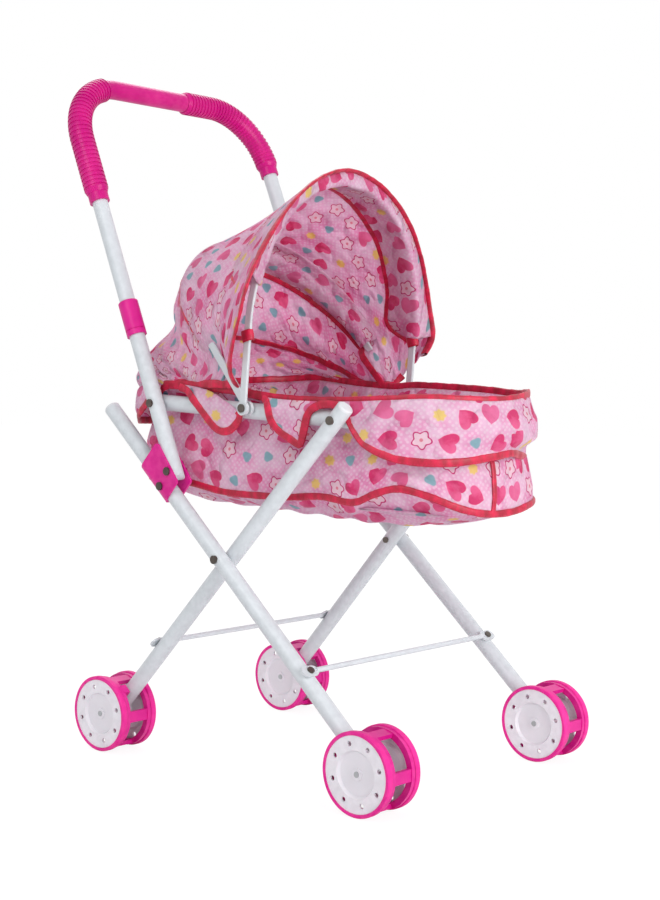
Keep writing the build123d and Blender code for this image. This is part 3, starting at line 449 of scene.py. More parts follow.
def tape(name, path, out, width, thick, closed=False, seed=1, pucker=0.16):
    """A sewn tape along a path: a soft flat tube, puckered a little by its stitches."""
    path = np.asarray(path, float)
    out = np.asarray(out, float)
    if out.ndim == 1:
        out = np.tile(out, (len(path), 1))
    tan = np.gradient(path, axis=0)
    if closed:
        tan[0] = tan[-1] = path[1] - path[-2]
    tan = unit(tan)
    out = unit(out - (out * tan).sum(1)[:, None] * tan)
    side = np.cross(tan, out)
    s = arc_length(path)
    wob = 1 + pucker * 0.35 * ripple(s, seed, 260)
    lift = 1 + pucker * ripple(s, seed + 5, 420)
    if closed:
        wob[-1], lift[-1] = wob[0], lift[0]
    pts = np.zeros((len(path), AROUND_TAPE + 1, 3))
    uv = np.zeros((len(path), AROUND_TAPE + 1, 2))
    for k in range(AROUND_TAPE + 1):
        a = 2 * math.pi * k / AROUND_TAPE
        ca, sa = math.cos(a), math.sin(a)
        x = math.copysign(abs(ca) ** 0.75, ca) * width / 2
        y = math.copysign(abs(sa) ** 0.9, sa) * thick / 2
        pts[:, k] = path + side * (x * wob)[:, None] + out * (y * lift)[:, None]
        uv[:, k, 0] = s
        uv[:, k, 1] = x - 0.3 * width
    return grid(name, pts, uv, RED)


# ------------------------------------------------------------------ hood


def line_by(knots, x):
    """A smooth curve through (x, y) knots."""
    k = smooth_line(np.array(knots, float), 400)
    return np.interp(x, k[:, 0], k[:, 1])


def ease(x, low, high):
    """0 below low, rising smoothly to 1 at high."""
    t = np.clip((x - low) / (high - low), 0, 1)
    return t * t * (3 - 2 * t)


HALF_COLS = 90  # points from a foot of the hood to its crown


def half_section(crown, foot, wide, wide_foot, leg, power):
    """Half width and radius from a foot of the hood up to its crown."""
    t = np.linspace(0, 1, 24)
    knee = foot + (crown - foot) * leg
    r_low = foot + (knee - foot) * t
    y_low = wide_foot + (wide - wide_foot) * np.sin(t * math.pi / 2)
    f = np.linspace(0, math.pi / 2, 70)[1:]
    r_up = knee + (crown - knee) * np.sin(f) ** (2 / power)
    y_up = wide * np.cos(f) ** (2 / power)
    y_up[-1] = 0
    section = np.stack([np.concatenate([y_low, y_up]), np.concatenate([r_low, r_up])], axis=1)
    return resample(section, HALF_COLS)


# lean (degrees), crown, foot, wide, wide_foot (mm), leg, power (ratios), left foot, forward bulge (mm)
STATIONS = [
    (4.8, 192, 17, 117, 104.5, 0.36, 1.68, 45, 9.0),
    (-1.0, 185.5, 17, 114, 104.5, 0.36, 1.56, 41, 6.5),
    (-8.0, 179.5, 18, 109.5, 104, 0.36, 1.46, 35, 3.5),
    (-16.0, 172, 19, 106.6, 103, 0.35, 1.5, 29, 1.0),
    (-25.0, 168, 20, 105, 102, 0.34, 1.74, 24, 0.0),
    (-33.0, 171, 21, 104, 101.5, 0.33, 1.9, 22, 0.0),
    (-39.0, 176.5, 23, 102.5, 101, 0.33, 1.98, 23, 0.0),
    (-45.0, 174, 25, 101.5, 100, 0.32, 2.03, 25, 0.0),
    (-52.0, 166.5, 29, 99, 99, 0.31, 2.04, 29, 0.0),
    (-58.0, 155.5, 34, 98, 98, 0.30, 2.06, 34, 0.0),
    (-64.0, 155, 41, 98.7, 98, 0.27, 2.12, 41, 0.0),
    (-70.0, 163, 53, 99.5, 98, 0.24, 2.2, 53, 0.0),
    (-75.0, 168, 74, 100, 98, 0.20, 2.3, 74, 0.0),
    (-80.0, 163, 92, 100, 98, 0.16, 2.4, 92, 0.0),
    (-84.5, 155, 100, 99, 98, 0.12, 2.5, 100, 0.0),
    (-86.0, 146, 102, 98, 97, 0.08, 2.6, 102, 0.0),
    (-84.0, 134, 103, 97, 97, 0.04, 2.7, 103, 0.0),
]


# the far side's wide, wide_foot, leg and power at the front edge; from there they fade into the near side's
FAR_FRONT = (122, 105.8, 0.14, 1.86)
FAR_FADE_LEAN, FAR_FADE = -25, 29.8
# how far the far front edge leaves its plane: as an arch, as an S, and forward at the foot
FAR_ARCH, FAR_S, FAR_KICK = -3.8, -2.6, 10.5
NEAR_FOOT_BACK = 14.0
# where the fabric is drawn in beside the rear strap: its lean there, the spread in degrees, and the depth
STRAP_LEAN, STRAP_SPREAD, STRAP_DRAW = -41.0, 15.0, 8.5


def station_curve(st):
    """One cross-section of the hood: from the right foot over the crown to the left foot."""
    lean, crown, foot, wide, wide_foot, leg, power, left_foot, bulge = st
    a = math.radians(lean)
    sides = []
    k = float(np.clip((lean - FAR_FADE_LEAN) / FAR_FADE, 0, 1))
    far = [v + k * (w - v) for v, w in zip((wide, wide_foot, leg, power), FAR_FRONT)]
    for side, low, shape in ((-1, foot, (wide, wide_foot, leg, power)), (1, left_foot, far)):
        y, r = half_section(crown, low, *shape).T
        u = np.clip((r - low) / (crown - low), 0, 1)
        if side < 0:
            foot_back = NEAR_FOOT_BACK * (1 - ease(r, 17, 82)) * ease(lean, -68, 4)
            x = r * math.sin(a) + bulge * np.sin(math.pi * u**1.6) - foot_back
        else:
            bow = FAR_ARCH * np.sin(math.pi * u) + FAR_S * np.sin(2 * math.pi * u) + FAR_KICK * (1 - u) ** 2
            x = r * math.sin(a) + k * bow
        # the fabric passes inside the rear strap near the pivot, and outside it above
        beside = np.degrees(np.arctan2(x, r * math.cos(a)))
        under = (1 - ease(r, 58, 72)) * np.exp(-(((beside - STRAP_LEAN) / STRAP_SPREAD) ** 2)) * STRAP_DRAW
        sides.append(np.stack([HOOD[0] + x * mm, side * (y - under) * mm, HOOD[2] + r * mm * math.cos(a)], axis=1))
    return np.vstack([sides[0], sides[1][-2::-1]])


def grid_normals(p):
    n = unit(np.cross(np.gradient(p, axis=1), np.gradient(p, axis=0)))
    rows, cols = p.shape[:2]
    return n if n[rows // 3, cols // 2][2] > 0 else -n


def metres_uv(p, u0=0.0, v0=0.0):
    """UVs in metres, measured along the sheet from its middle column and first row."""
    uv = np.zeros(p.shape[:2] + (2,))
    mid = p.shape[1] // 2
    steps = np.linalg.norm(np.diff(p, axis=1), axis=2)
    du = np.concatenate([np.zeros((p.shape[0], 1)), np.cumsum(steps, axis=1)], axis=1)
    du -= du[:, mid:mid + 1]
    dv = arc_length(p[:, mid])
    uv[:, :, 0] = du.mean(axis=0)[None, :] * 0.5 + du * 0.5 + u0
    uv[:, :, 1] = dv[:, None] + v0
    return uv


HOOD_ROWS = 160
coarse = np.array([station_curve(s) for s in STATIONS])
HOOD_COLS = coarse.shape[1]
hood = np.stack([smooth_line(coarse[:, j], HOOD_ROWS) for j in range(HOOD_COLS)], axis=1)
along_v = np.linspace(0, 1, HOOD_ROWS)[:, None]
across_u = np.linspace(-1, 1, HOOD_COLS)[None, :]


def lean_of(p):
    """Degrees forward of upright, seen from the hood's pivot."""
    return np.degrees(np.arctan2(p[..., 0] - HOOD[0], p[..., 2] - HOOD[2]))


def radius_of(p):
    """mm from the hood's pivot, seen from the side."""
    return np.hypot(p[..., 0] - HOOD[0], p[..., 2] - HOOD[2]) / mm


# wide wrinkles, stronger down the sides, and two bands of gathers: part way down the back and at its foot
wr = np.zeros((HOOD_ROWS, HOOD_COLS))
r0 = np.random.default_rng(11)
for k in range(7):
    ang, frq, ph = r0.random() * 0.8 - 0.4, 4 + 7 * r0.random(), r0.random() * 6.28
    waves = np.sin(frq * (along_v * 6 + ang * across_u * 6) + ph + 1.5 * np.sin(across_u * 5 + ph))
    wr += waves * (0.15 + 0.85 * np.abs(across_u) ** 1.5) * 0.26
gather = np.sin(across_u * 74 + 3 * along_v) * np.exp(-((along_v - 0.98) / 0.10) ** 2) * 0.9
gather += np.sin(across_u * 52 + 9 * along_v) * np.exp(-((along_v - 0.66) / 0.07) ** 2) * 0.7
# folds that fan out from the pivot over the lower back
rad, lean = radius_of(hood), lean_of(hood)
fan = np.sin(np.radians(lean) * 26 + 0.6) * ease(rad, 35, 80) * (1 - ease(rad, 120, 165)) * ease(-lean, 30, 48) * 1.6
fan -= 3.2 * np.exp(-(((lean + 57) / 3.2) ** 2)) * ease(rad, 35, 70) * (1 - ease(rad, 115, 150))
# none at the front edge, which the binding holds
calm = np.clip(along_v / 0.04, 0, 1)
hood = hood + grid_normals(hood) * ((wr * 1.1 + gather + fan * np.abs(across_u) ** 0.7) * mm * calm)[:, :, None]
nrm = grid_normals(hood)
canopy = grid("hood_fabric", hood, metres_uv(hood), PRINT, thick=0.7 * mm)
hood_pieces = [canopy]


def hood_tape(name, path, out, **kw):
    hood_pieces.append(tape(name, path, out, **kw))


front_path = resample(hood[0] + 0.2 * mm * nrm[0], 240)
hood_tape("hood_front_binding", front_path, resample(nrm[0], 240), width=8.2 * mm, thick=2.8 * mm, seed=3)


def on_hood(col, lean_deg):
    """The row where one column of the hood reaches a lean."""
    values = lean_of(hood[:, col])
    cut = int(HOOD_ROWS * 0.9)  # the last rows turn in under the back and lean forward again
    return float(np.interp(-lean_deg, -values[:cut], np.arange(cut)))


def hood_at(col, row):
    """A point of the hood and the normal there."""
    low = int(min(row, HOOD_ROWS - 2))
    t = row - low
    return hood[low, col] * (1 - t) + hood[low + 1, col] * t, nrm[low, col]


BOW_HALF_THICK = 1.4
BOW_SIDE_RATIO = 1.157  # radius of a bow's side arcs, from its rise, as in part.py


def bow_box(name):
    """Half the width of a bow, to the middle of its strap (mm)."""
    lo, hi = (np.array(v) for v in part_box(name))
    return (hi[1] - lo[1]) / 2 / mm - BOW_HALF_THICK


def bow_line(half, leg, rise, lean_deg):
    """The middle of a bow's strap, as part.py bends it: straight legs, flat side arcs and a crown arc."""
    side_r = BOW_SIDE_RATIO * rise
    alpha = math.pi / 2 - 2 * math.atan((side_r - rise) / (side_r - half))
    crown_z = leg + (side_r - half) * math.tan(alpha)
    crown_r = side_r - (side_r - half) / math.cos(alpha)
    pts = [(half, 0), (half, leg)]
    pts += [(half - side_r + side_r * math.cos(t), leg + side_r * math.sin(t)) for t in np.linspace(0, alpha, 30)[1:]]
    pts += [(crown_r * math.cos(t), crown_z + crown_r * math.sin(t)) for t in np.linspace(alpha, math.pi / 2, 30)[1:]]
    half_line = np.array(pts)
    y, r = resample(np.vstack([half_line * [-1, 1], half_line[-2::-1]]), HOOD_COLS).T * mm
    t = math.radians(lean_deg)
    return np.stack([HOOD[0] + r * math.sin(t), y, HOOD[2] + r * math.cos(t)], axis=1)


def tunnel(name, bow, lean_deg, front, back, cols, seed):
    """The sewn sleeve that holds a bow: it leaves the hood in front of the bow, passes inside it, ends in a seam."""
    t = math.radians(lean_deg)
    ahead = np.array([math.cos(t), 0, -math.sin(t)])
    inward = np.cross(unit(np.gradient(bow, axis=0)), ahead)
    if inward[len(bow) // 2][2] > 0:
        inward = -inward
    ends = [(hood_at(c, on_hood(c, front(c)) if front else 0.0), hood_at(c, on_hood(c, back(c)))) for c in cols]
    # the place on the bow nearest to each column, smoothed along the sleeve
    near = np.array([np.argmin(np.linalg.norm(bow - (f[0] + g[0]) / 2, axis=1)) for f, g in ends], float)
    near = np.convolve(np.pad(near, 6, mode="reflect", reflect_type="odd"), np.ones(13) / 13, mode="valid")
    rows = []
    for ((p_front, n_front), (p_back, n_back)), at in zip(ends, near):
        b = np.array([np.interp(at, np.arange(len(bow)), bow[:, k]) for k in range(3)])
        inn = np.array([np.interp(at, np.arange(len(bow)), inward[:, k]) for k in range(3)])
        # from the hood in front, round the inside of the strap, back to the hood behind it
        knots = [p_front - n_front * 0.5 * mm,
                 b + ahead * 5.2 * mm - inn * 1.5 * mm,
                 b + ahead * 4.6 * mm + inn * 2.4 * mm,
                 b - ahead * 4.6 * mm + inn * 3.0 * mm,
                 p_back * 0.72 + b * 0.28 + inn * 1.2 * mm,
                 p_back - n_back * 0.7 * mm]
        rows.append(smooth_line(knots, 22))
    pts = np.array(rows).transpose(1, 0, 2)
    wob = 0.5 * mm * ripple(np.arange(pts.shape[1]) * 2 * mm, seed, 160)
    pts[4:-2] += (inward[len(inward) // 2] * wob[:, None])[None]
    hood_pieces.append(grid(name, pts, metres_uv(pts, 0.11 * seed, 0.07 * seed), SHADED_LINING, thick=0.6 * mm))
    end = pts[-1]
    inn = np.array([(HOOD + np.array([0, 0, 0.09])) - q for q in end])
    hood_tape(name + "_seam", resample(end, 200), resample(inn, 200), width=6.0 * mm, thick=1.9 * mm, seed=seed)


# radius of each column at the front edge and near the rear bow; a sleeve runs over the columns high enough for it
R_FRONT, R_REAR = radius_of(hood[0]), radius_of(hood[int(HOOD_ROWS * 0.45)])
front_cols = [c for c in range(HOOD_COLS) if R_FRONT[c] > (102 if c < HOOD_COLS // 2 else 61)]
rear_cols = [c for c in range(HOOD_COLS) if R_REAR[c] > 72]
# leg and rise (mm) and lean (degrees) of each bow, as in part.py
FRONT_LEG, FRONT_RISE, FRONT_LEAN = 64.0, 118.0, 4.5
REAR_LEG, REAR_RISE, REAR_LEAN = 60.0, 112.0, -39.0
front_bow = bow_line(bow_box("hood_front_bow"), FRONT_LEG, FRONT_RISE, FRONT_LEAN)
rear_bow = bow_line(bow_box("hood_rear_bow"), REAR_LEG, REAR_RISE, REAR_LEAN)
# the front sleeve's seam: radius of the column at the front edge, and the seam's lean there
LEFT_SEAM = [(60, 0.5), (69, -10), (83, -17.5), (95, -20), (104, -17.5), (118, -12.8), (135, -9.7), (154, -7),
             (170, -5.8), (193, -4)]
RIGHT_SEAM = [(98, -1), (106, -8), (118, -13), (135, -13), (160, -9), (193, -6)]
REAR_SLEEVE_FROM, REAR_SLEEVE_TO, BACK_SEAM = -32.0, -45.5, -67.5
tunnel("hood_front_sleeve", front_bow, FRONT_LEAN, None,
       lambda c: float(line_by(RIGHT_SEAM if c < HOOD_COLS // 2 else LEFT_SEAM, R_FRONT[c])), front_cols, 4)
tunnel("hood_rear_sleeve", rear_bow, REAR_LEAN, lambda c: REAR_SLEEVE_FROM, lambda c: REAR_SLEEVE_TO, rear_cols, 5)


def inner_seam(name, lean_deg, low_r, seed):
    """A tape inside the hood, over the columns that are more than low_r from the pivot there."""
    pts, outs = [], []
    for c in range(HOOD_COLS):
        p, n_ = hood_at(c, on_hood(c, lean_deg))
        if radius_of(p) > low_r:
            pts.append(p - n_ * 1.3 * mm)
            outs.append(-n_)
    hood_tape(name, resample(np.array(pts), 200), resample(np.array(outs), 200),
              width=6.0 * mm, thick=1.8 * mm, seed=seed)


inner_seam("hood_rear_sleeve_hem", REAR_SLEEVE_TO, 20, 6)
inner_seam("hood_back_seam", BACK_SEAM, 40, 7)
for tag, column, sgn in (("right", 0, -1), ("left", HOOD_COLS - 1, 1)):
    foot = hood[0 if sgn < 0 else int(HOOD_ROWS * 0.2): int(HOOD_ROWS * 0.93), column]
    hood_tape("hood_hem_" + tag, resample(foot, 170) + np.array([0, sgn * 0.3 * mm, 0.3 * mm]), (0, sgn, 0.1),
              width=6.5 * mm, thick=2.0 * mm, seed=8 + sgn)
# a loop of tape round the front bow's strap on each side, below its sleeve
LOOP_UP, LOOP_LONG, LOOP_WIDE = 56, 4.6 * mm, 2.6 * mm
for tag, sgn in (("right", -1), ("left", 1)):
    t = math.radians(FRONT_LEAN)
    mid = HOOD + np.array([math.sin(t), 0, math.cos(t)]) * LOOP_UP * mm
    ring = []
    for q in np.linspace(0, 2 * math.pi, 25):
        dx = LOOP_LONG * math.copysign(abs(math.cos(q)) ** 0.5, math.cos(q))
        dy = LOOP_WIDE * math.copysign(abs(math.sin(q)) ** 0.7, math.sin(q))
        ring.append(mid + np.array([dx, sgn * (bow_box("hood_front_bow") * mm) + dy, 0.25 * dx]))
    ring = np.array(ring)
    outs = ring - ring.mean(axis=0)
    loop_ob = tape("hood_strap_loop_" + tag, ring, outs, width=9.0 * mm, thick=1.2 * mm,
                   closed=True, seed=40 + sgn, pucker=0.1)
    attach(loop_ob, "hood_front")

for ob in hood_pieces:
    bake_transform(ob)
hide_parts("hood_canopy", "hood_back")

# ------------------------------------------------------------------ bassinet

# The seat frame's plane runs from the seat's pivot to the rear leg's: s lies along it to the front, up stands on it.
pins = [np.array(v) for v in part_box("rear_leg_pins")]
FRONT_PIVOT = (pins[0] + pins[1]) / 2 * np.array([1, 0, 1.0])
seat_dir = FRONT_PIVOT - SEAT
seat_len = np.linalg.norm(seat_dir)
seat_dir /= seat_len
seat_up = np.array([-seat_dir[2], 0.0, seat_dir[0]])
# the loop in plan (mm): half width at the rear and front pivots, reach past them, radius of the rear corners
RAIL_REAR, RAIL_FRONT = 98.3, 78.4
AHEAD, BACK, CORNER = 90.6, 53.0, 45.0
TAPER = (RAIL_REAR - RAIL_FRONT) / (seat_len / mm)
ta = math.atan(TAPER)
REACH = seat_len / mm + AHEAD
# centre and radius of the front arc
FC = (REACH / math.cos(ta) - RAIL_REAR) / (1 / math.cos(ta) - TAPER)
FR = REACH - FC


def loop(offset, count):
    """Plan of the seat frame's loop, from the middle of the back along the right side to the front and round."""
    cs = -BACK + CORNER
    cy = RAIL_REAR - TAPER * cs - CORNER / math.cos(ta)
    cr = CORNER + offset
    fr = FR + offset
    pts = [(-BACK - offset, 0.0)]
    for a in np.linspace(180, 90 - math.degrees(ta), 24):
        pts.append((cs + cr * math.cos(math.radians(a)), cy + cr * math.sin(math.radians(a))))
    for a in np.linspace(90 - math.degrees(ta), 0, 48):
        pts.append((FC + fr * math.cos(math.radians(a)), fr * math.sin(math.radians(a))))
    half = np.array(pts) * [1, -1]
    return resample(np.vstack([half, (half * [1, -1])[-2::-1]]), count + 1)


def seat_pt(s, y, up):
    """Points by their place along the seat, across it and above it (mm)."""
    s, y, up = (np.asarray(v, float)[..., None] for v in np.broadcast_arrays(s, y, up))
    return SEAT + s * mm * seat_dir + up * mm * seat_up + y * mm * np.array([0, 1.0, 0])


COUNT = 480  # columns of the bag, round the loop
ring0 = loop(0.0, COUNT)
ARC = arc_length(ring0)
TOTAL = ARC[-1]
edge = np.gradient(ring0, axis=0)
edge[0] = edge[-1] = ring0[1] - ring0[-2]
OUTWARD = unit(np.stack([edge[:, 1], -edge[:, 0]], axis=1))
if OUTWARD[0, 0] > 0:
    OUTWARD = -OUTWARD


def around(arc, off, up):
    """Points at places round the loop (mm from the back's middle), off outside the frame's axis and up above it."""
    arc, off, up = np.broadcast_arrays(arc, off, up)
    where = np.mod(arc, TOTAL)
    s = np.interp(where, ARC, ring0[:, 0]) + off * np.interp(where, ARC, OUTWARD[:, 0])
    y = np.interp(where, ARC, ring0[:, 1]) + off * np.interp(where, ARC, OUTWARD[:, 1])
    return seat_pt(s, y, up)


def around_line(knots, arc):
    """A smooth closed curve of heights round the loop."""
    k = np.array(knots, float)
    wide = np.vstack([k - [TOTAL, 0], k, k + [TOTAL, 0]])
    return line_by(wide, arc)


# heights of the rim and of the bottom seam above the frame's axis, by the place round the loop
RIM_UP = [(0, 13), (60, 12), (110, 14), (160, 16), (188, 15.5), (204, 14.5), (216, 13.4), (231, 12), (254, 11.5),
          (282, 12.3), (313, 14.5), (347, 18), (373, 20.5), (411, 20.5), (442, 21.5), (488, 25), (528, 22.5),
          (570, 23), (641, 21.5), (669, 18.5), (718, 18.5), (764, 20), (802, 16.5), (850, 14)]
SEAM_UP = [(0, -64), (100, -64), (147, -62.5), (193, -67), (250, -64.5), (284, -60.5), (313, -62), (331, -54),
           (353, -47.5), (377, -51.5), (401, -59.5), (424, -63.5), (450, -63), (480, -58), (520, -57), (570, -64),
           (640, -60), (700, -66), (780, -63), (850, -64)]
FLARE = 15.0  # how far the bag's foot stands out round the front
arcs = np.linspace(0, TOTAL, COUNT + 1)
rim_up = around_line(RIM_UP, arcs)
seam_up = around_line(SEAM_UP, arcs)
corner_flare = np.exp(-(((arcs - 487) / 42) ** 2)) + 0.5 * np.exp(-(((arcs - 400) / 40) ** 2))
turns = arcs / TOTAL * 2 * math.pi

# the bag's wall, from the rim over the frame and down to the seam: how far it stands outside the frame's axis
WALL_AT, WALL_OFF = [0, 0.05, 0.12, 0.3, 0.6, 0.85, 1.0], [-1.6, -6.5, -8.6, -8.4, -3.5, -3.8, -6.0]
levels = np.concatenate([np.linspace(0, 0.16, 8), np.linspace(0.19, 1, 44)])
bag = []
for k in levels:
    up = rim_up - 2.0 + (seam_up - rim_up + 2.0) * k
    off = np.interp(k, WALL_AT, WALL_OFF)
    slack = math.sin(math.pi * k) ** 0.8
    folds = 0.5 * np.sin(23 * turns + 2 * np.sin(6 * turns)) + 0.8 * np.sin(9 * turns + 1.0)
    folds = folds + 0.6 * np.sin(15 * turns + k * 7)
    hang = 0.5 * np.sin(41 * turns + 3 * np.sin(5 * turns)) * max(0.0, 1 - k * 2.2) * (k > 0.1)
    grow = FLARE * max(0.0, (k - 0.25) / 0.75) ** 1.4
    bag.append(around(arcs, off + 1.2 * slack * folds + hang + grow * corner_flare, up))
bag = np.array(bag)
bag[:, -1] = bag[:, 0]


def wall_uv(p):
    """UVs in metres, along the middle row and down one column."""
    uv = np.zeros(p.shape[:2] + (2,))
    uv[:, :, 0] = arc_length(p[len(p) // 2])[None, :]
    uv[:, :, 1] = -arc_length(p[:, p.shape[1] // 4])[:, None]
    return uv


bag_ob = grid("bassinet_sides", bag, wall_uv(bag), PRINT, thick=0.8 * mm)
# the floor, from the seam in to its middle
FLOOR_UP, FLOOR_SAG, FLOOR_WRINKLE, FLOOR_SWELL = -75.0 * mm, 4.0 * mm, 0.9 * mm, 6.0 * mm
seam = bag[-1]
centre = seam[:-1].mean(axis=0)
flat_up = (seam - SEAT) @ seat_up
rows = []
for t in np.linspace(0, 1, 36):
    ring = seam + (centre - seam) * t
    level = flat_up * (1 - ease(t, 0, 0.35)) + FLOOR_UP * ease(t, 0, 0.35)
    sag = -FLOOR_SAG * math.sin(math.pi * (min(t, 0.83) * 1.2))
    wrinkle = FLOOR_WRINKLE * np.sin(19 * turns + t * 5) * math.sin(math.pi * min(t * 1.6, 1))
    swell = FLOOR_SWELL * math.sin(math.pi * t / 0.25) if t < 0.25 else 0.0
    ring = ring + unit(ring - centre) * swell + seat_up * (level + sag + wrinkle - (ring - SEAT) @ seat_up)[:, None]
    rows.append(ring)
floor_pts = np.array(rows)
floor_pts[:, -1] = floor_pts[:, 0]
floor_ob = grid("bassinet_floor", floor_pts, floor_pts[:, :, :2], PRINT, thick=0.8 * mm)
bag_pieces = [bag_ob, floor_ob]
tapes = []


def bag_tape(name, path, out, **kw):
    ob = tape(name, path, out, **kw)
    bag_pieces.append(ob)
    tapes.append(ob)
    return ob


def out_at(arc):
    """The direction out of the loop at places round it."""
    where = np.mod(arc, TOTAL)
    ox, oy = np.interp(where, ARC, OUTWARD[:, 0]), np.interp(where, ARC, OUTWARD[:, 1])
    return ox[:, None] * seat_dir + oy[:, None] * np.array([0, 1.0, 0])


rim_path = around(arcs, 0.8, rim_up)
rim_path[-1] = rim_path[0]
rim_tape = bag_tape("rim_binding_tape", rim_path, out_at(arcs), width=7.4 * mm, thick=2.8 * mm, closed=True, seed=21)
bag_tape("bottom_seam_binding", seam + out_at(arcs) * 0.8 * mm, out_at(arcs),
         width=5.6 * mm, thick=2.6 * mm, closed=True, seed=23)
CORNER_AT = 430.0
column = int(round(CORNER_AT / TOTAL * COUNT))
corner_out = out_at(np.full(60, CORNER_AT))
bag_tape("corner_binding", resample(bag[8:, column], 60) + corner_out * 1.0 * mm, corner_out,
         width=4.6 * mm, thick=1.8 * mm, seed=24)


FLAP_UP, FLAP_OFF = [-30, -9, 0, 7, 12, 18, 24], [9.4, 9.0, 9.0, 8.2, 5.4, 3.2, 1.4]


def hanging(name, arc, top, hem, seed, tuck):
    """A flap over the outside of the frame, between a top and a hem height at each place round the loop.

    Its hem draws in by tuck, below the frame's tube only.
    """
    rows = []
    for k in np.linspace(0, 1, 22):
        up = top + (hem - top) * k
        off = np.interp(up, FLAP_UP, FLAP_OFF) - tuck * ease(-up, 7.5, 17)
        off = off + k * (0.7 * np.sin(arc / 8.0 + seed) + 0.4 * np.sin(arc / 3.7 + 2 * seed))
        rows.append(around(arc, off, up))
    rows = np.array(rows)
    uv = np.zeros(rows.shape[:2] + (2,))
    uv[:, :, 0] = arc[None, :] * mm + seed * 0.013
    uv[:, :, 1] = (rows - SEAT) @ seat_up
    ob = grid(name, rows, uv, PRINT, thick=0.7 * mm)
    bag_pieces.append(ob)
    bag_tape(name + "_binding", resample(rows[-1], 300), resample(out_at(arc), 300),
             width=6.2 * mm, thick=2.3 * mm, seed=30 + seed)
    return ob


# the front skirt's hem, from its corner to the middle of the front: place round the loop and height
FRONT_HEM = [(233, 12), (238, 8), (241, 1), (243.5, -5), (249, -11), (256, -15), (264, -18.5), (271, -21.5),
             (273, -15), (274.4, -8), (276, 0), (279, 5), (283, 8), (288, 10.5), (297, 11), (306, 10), (310, 7.5),
             (314, 2), (318, -4.5), (323, -10), (329.5, -15), (337, -19), (345, -22), (356, -24.8), (372, -25.8),
             (390, -24.8), (408, -22.5), (425, -20), (442.4, -18)]
hem_knots = FRONT_HEM + [(TOTAL - a, h) for a, h in FRONT_HEM[-2::-1]]
FRONT_FROM, REAR_TO = 233, 127
front_arcs = np.linspace(FRONT_FROM, TOTAL - FRONT_FROM, 520)
front_hem = np.minimum(line_by(hem_knots, front_arcs), around_line(RIM_UP, front_arcs) - 1.5)
front_flap = hanging("front_skirt_flap", front_arcs, around_line(RIM_UP, front_arcs), front_hem, 3,
                     9.5 * np.exp(-(((front_arcs - 478) / 52) ** 2)))
# the rear skirt's hem, from one corner to the other, and the side flaps' top and hem
REAR_HEM = [(-127, 12), (-120, 4), (-108, -10), (-92, -17), (-60, -19), (0, -20), (60, -19), (92, -17), (108, -10),
            (120, 4), (127, 12)]
rear_arcs = np.linspace(-REAR_TO, REAR_TO, 250)
rear_hem = line_by(REAR_HEM, rear_arcs)
rear_flap = hanging("rear_skirt_flap", rear_arcs, around_line(RIM_UP, np.mod(rear_arcs, TOTAL)), rear_hem, 2,
                    8.0 * np.exp(-((rear_arcs / 95) ** 4)))
TONGUE_TOP = [(146, 16), (159, 15.5), (173, 14), (183, 11.5), (196, 7), (205, 3), (210, -0.5)]
TONGUE_HEM = [(146, 14), (154, 12), (162, 8), (170, 1), (177.5, -6), (184.5, -12), (191, -16), (197.5, -17.5),
              (204, -15.8), (209, -11), (211.8, -6.5), (212, -3), (210, -0.6)]
TONGUE_UP, TONGUE_OFF = [-22, -9, 0, 7, 12, 18], [9.6, 9.2, 9.0, 8.4, 4.6, 1.4]
TONGUE_COLS = 70
for tag, mirrored in (("right", False), ("left", True)):
    top_line, hem_line = smooth_line(TONGUE_TOP, TONGUE_COLS), smooth_line(TONGUE_HEM, TONGUE_COLS)
    rows = []
    for k in np.linspace(0, 1, 18):
        mixd = top_line * (1 - k) + hem_line * k
        off = np.interp(mixd[:, 1], TONGUE_UP, TONGUE_OFF) + 0.5 * k * np.sin(mixd[:, 0] / 5)
        rows.append(around(TOTAL - mixd[:, 0] if mirrored else mixd[:, 0], off, mixd[:, 1]))
    rows = np.array(rows)
    uv = np.stack([np.linspace(0, 0.06, TONGUE_COLS)[None, :] + 0 * rows[:, :, 0], (rows - SEAT) @ seat_up], axis=2)
    tongue = grid("side_flap_" + tag, rows, uv + [0.031, 0.017], PRINT, thick=0.7 * mm)
    bag_pieces.append(tongue)
    place = TOTAL - hem_line[:, 0] if mirrored else hem_line[:, 0]
    bag_tape("side_flap_binding_" + tag, resample(rows[-1], 130), resample(out_at(place), 130),
             width=6.4 * mm, thick=2.3 * mm, seed=35)

PAD_LOW, PAD_HIGH, PAD_INSET = -68.6, -65.6, 12.5
PAD_MIDDLE = (PAD_HIGH + PAD_LOW) / 2
PAD_RINGS, PAD_COLS = 26, 300
QUILT, SEWN_WIDE, PAD_SWELL = 46, 0.045, 1.4 * mm
PAD_FRAMES = 20
plan = loop(-PAD_INSET, PAD_COLS)[:-1]
mid_s = plan[:, 0].mean()
verts, faces = [], []
for level in (PAD_HIGH, PAD_LOW):
    for k in range(PAD_RINGS):
        t = (k / PAD_RINGS) ** 0.9
        ring = plan * (1 - t) + np.array([mid_s, 0.0]) * t
        verts.extend(seat_pt(ring[:, 0], ring[:, 1], PAD_MIDDLE if k == 0 else level))
    verts.append(seat_pt(mid_s, 0.0, level))
for face in (0, 1):
    base = face * (PAD_RINGS * PAD_COLS + 1)
    middle = base + PAD_RINGS * PAD_COLS
    for k in range(PAD_RINGS - 1):
        outer = base + k * PAD_COLS
        inner = outer + PAD_COLS
        for i in range(PAD_COLS):
            j = (i + 1) % PAD_COLS
            quad = (outer + i, outer + j, inner + j, inner + i)
            faces.append(quad if face else quad[::-1])
    last = middle - PAD_COLS
    for i in range(PAD_COLS):
        tri = (last + i, last + (i + 1) % PAD_COLS, middle)
        faces.append(tri if face else tri[::-1])
pad_uv = [((np.asarray(v) - SEAT) @ seat_dir, v[1]) for v in verts]
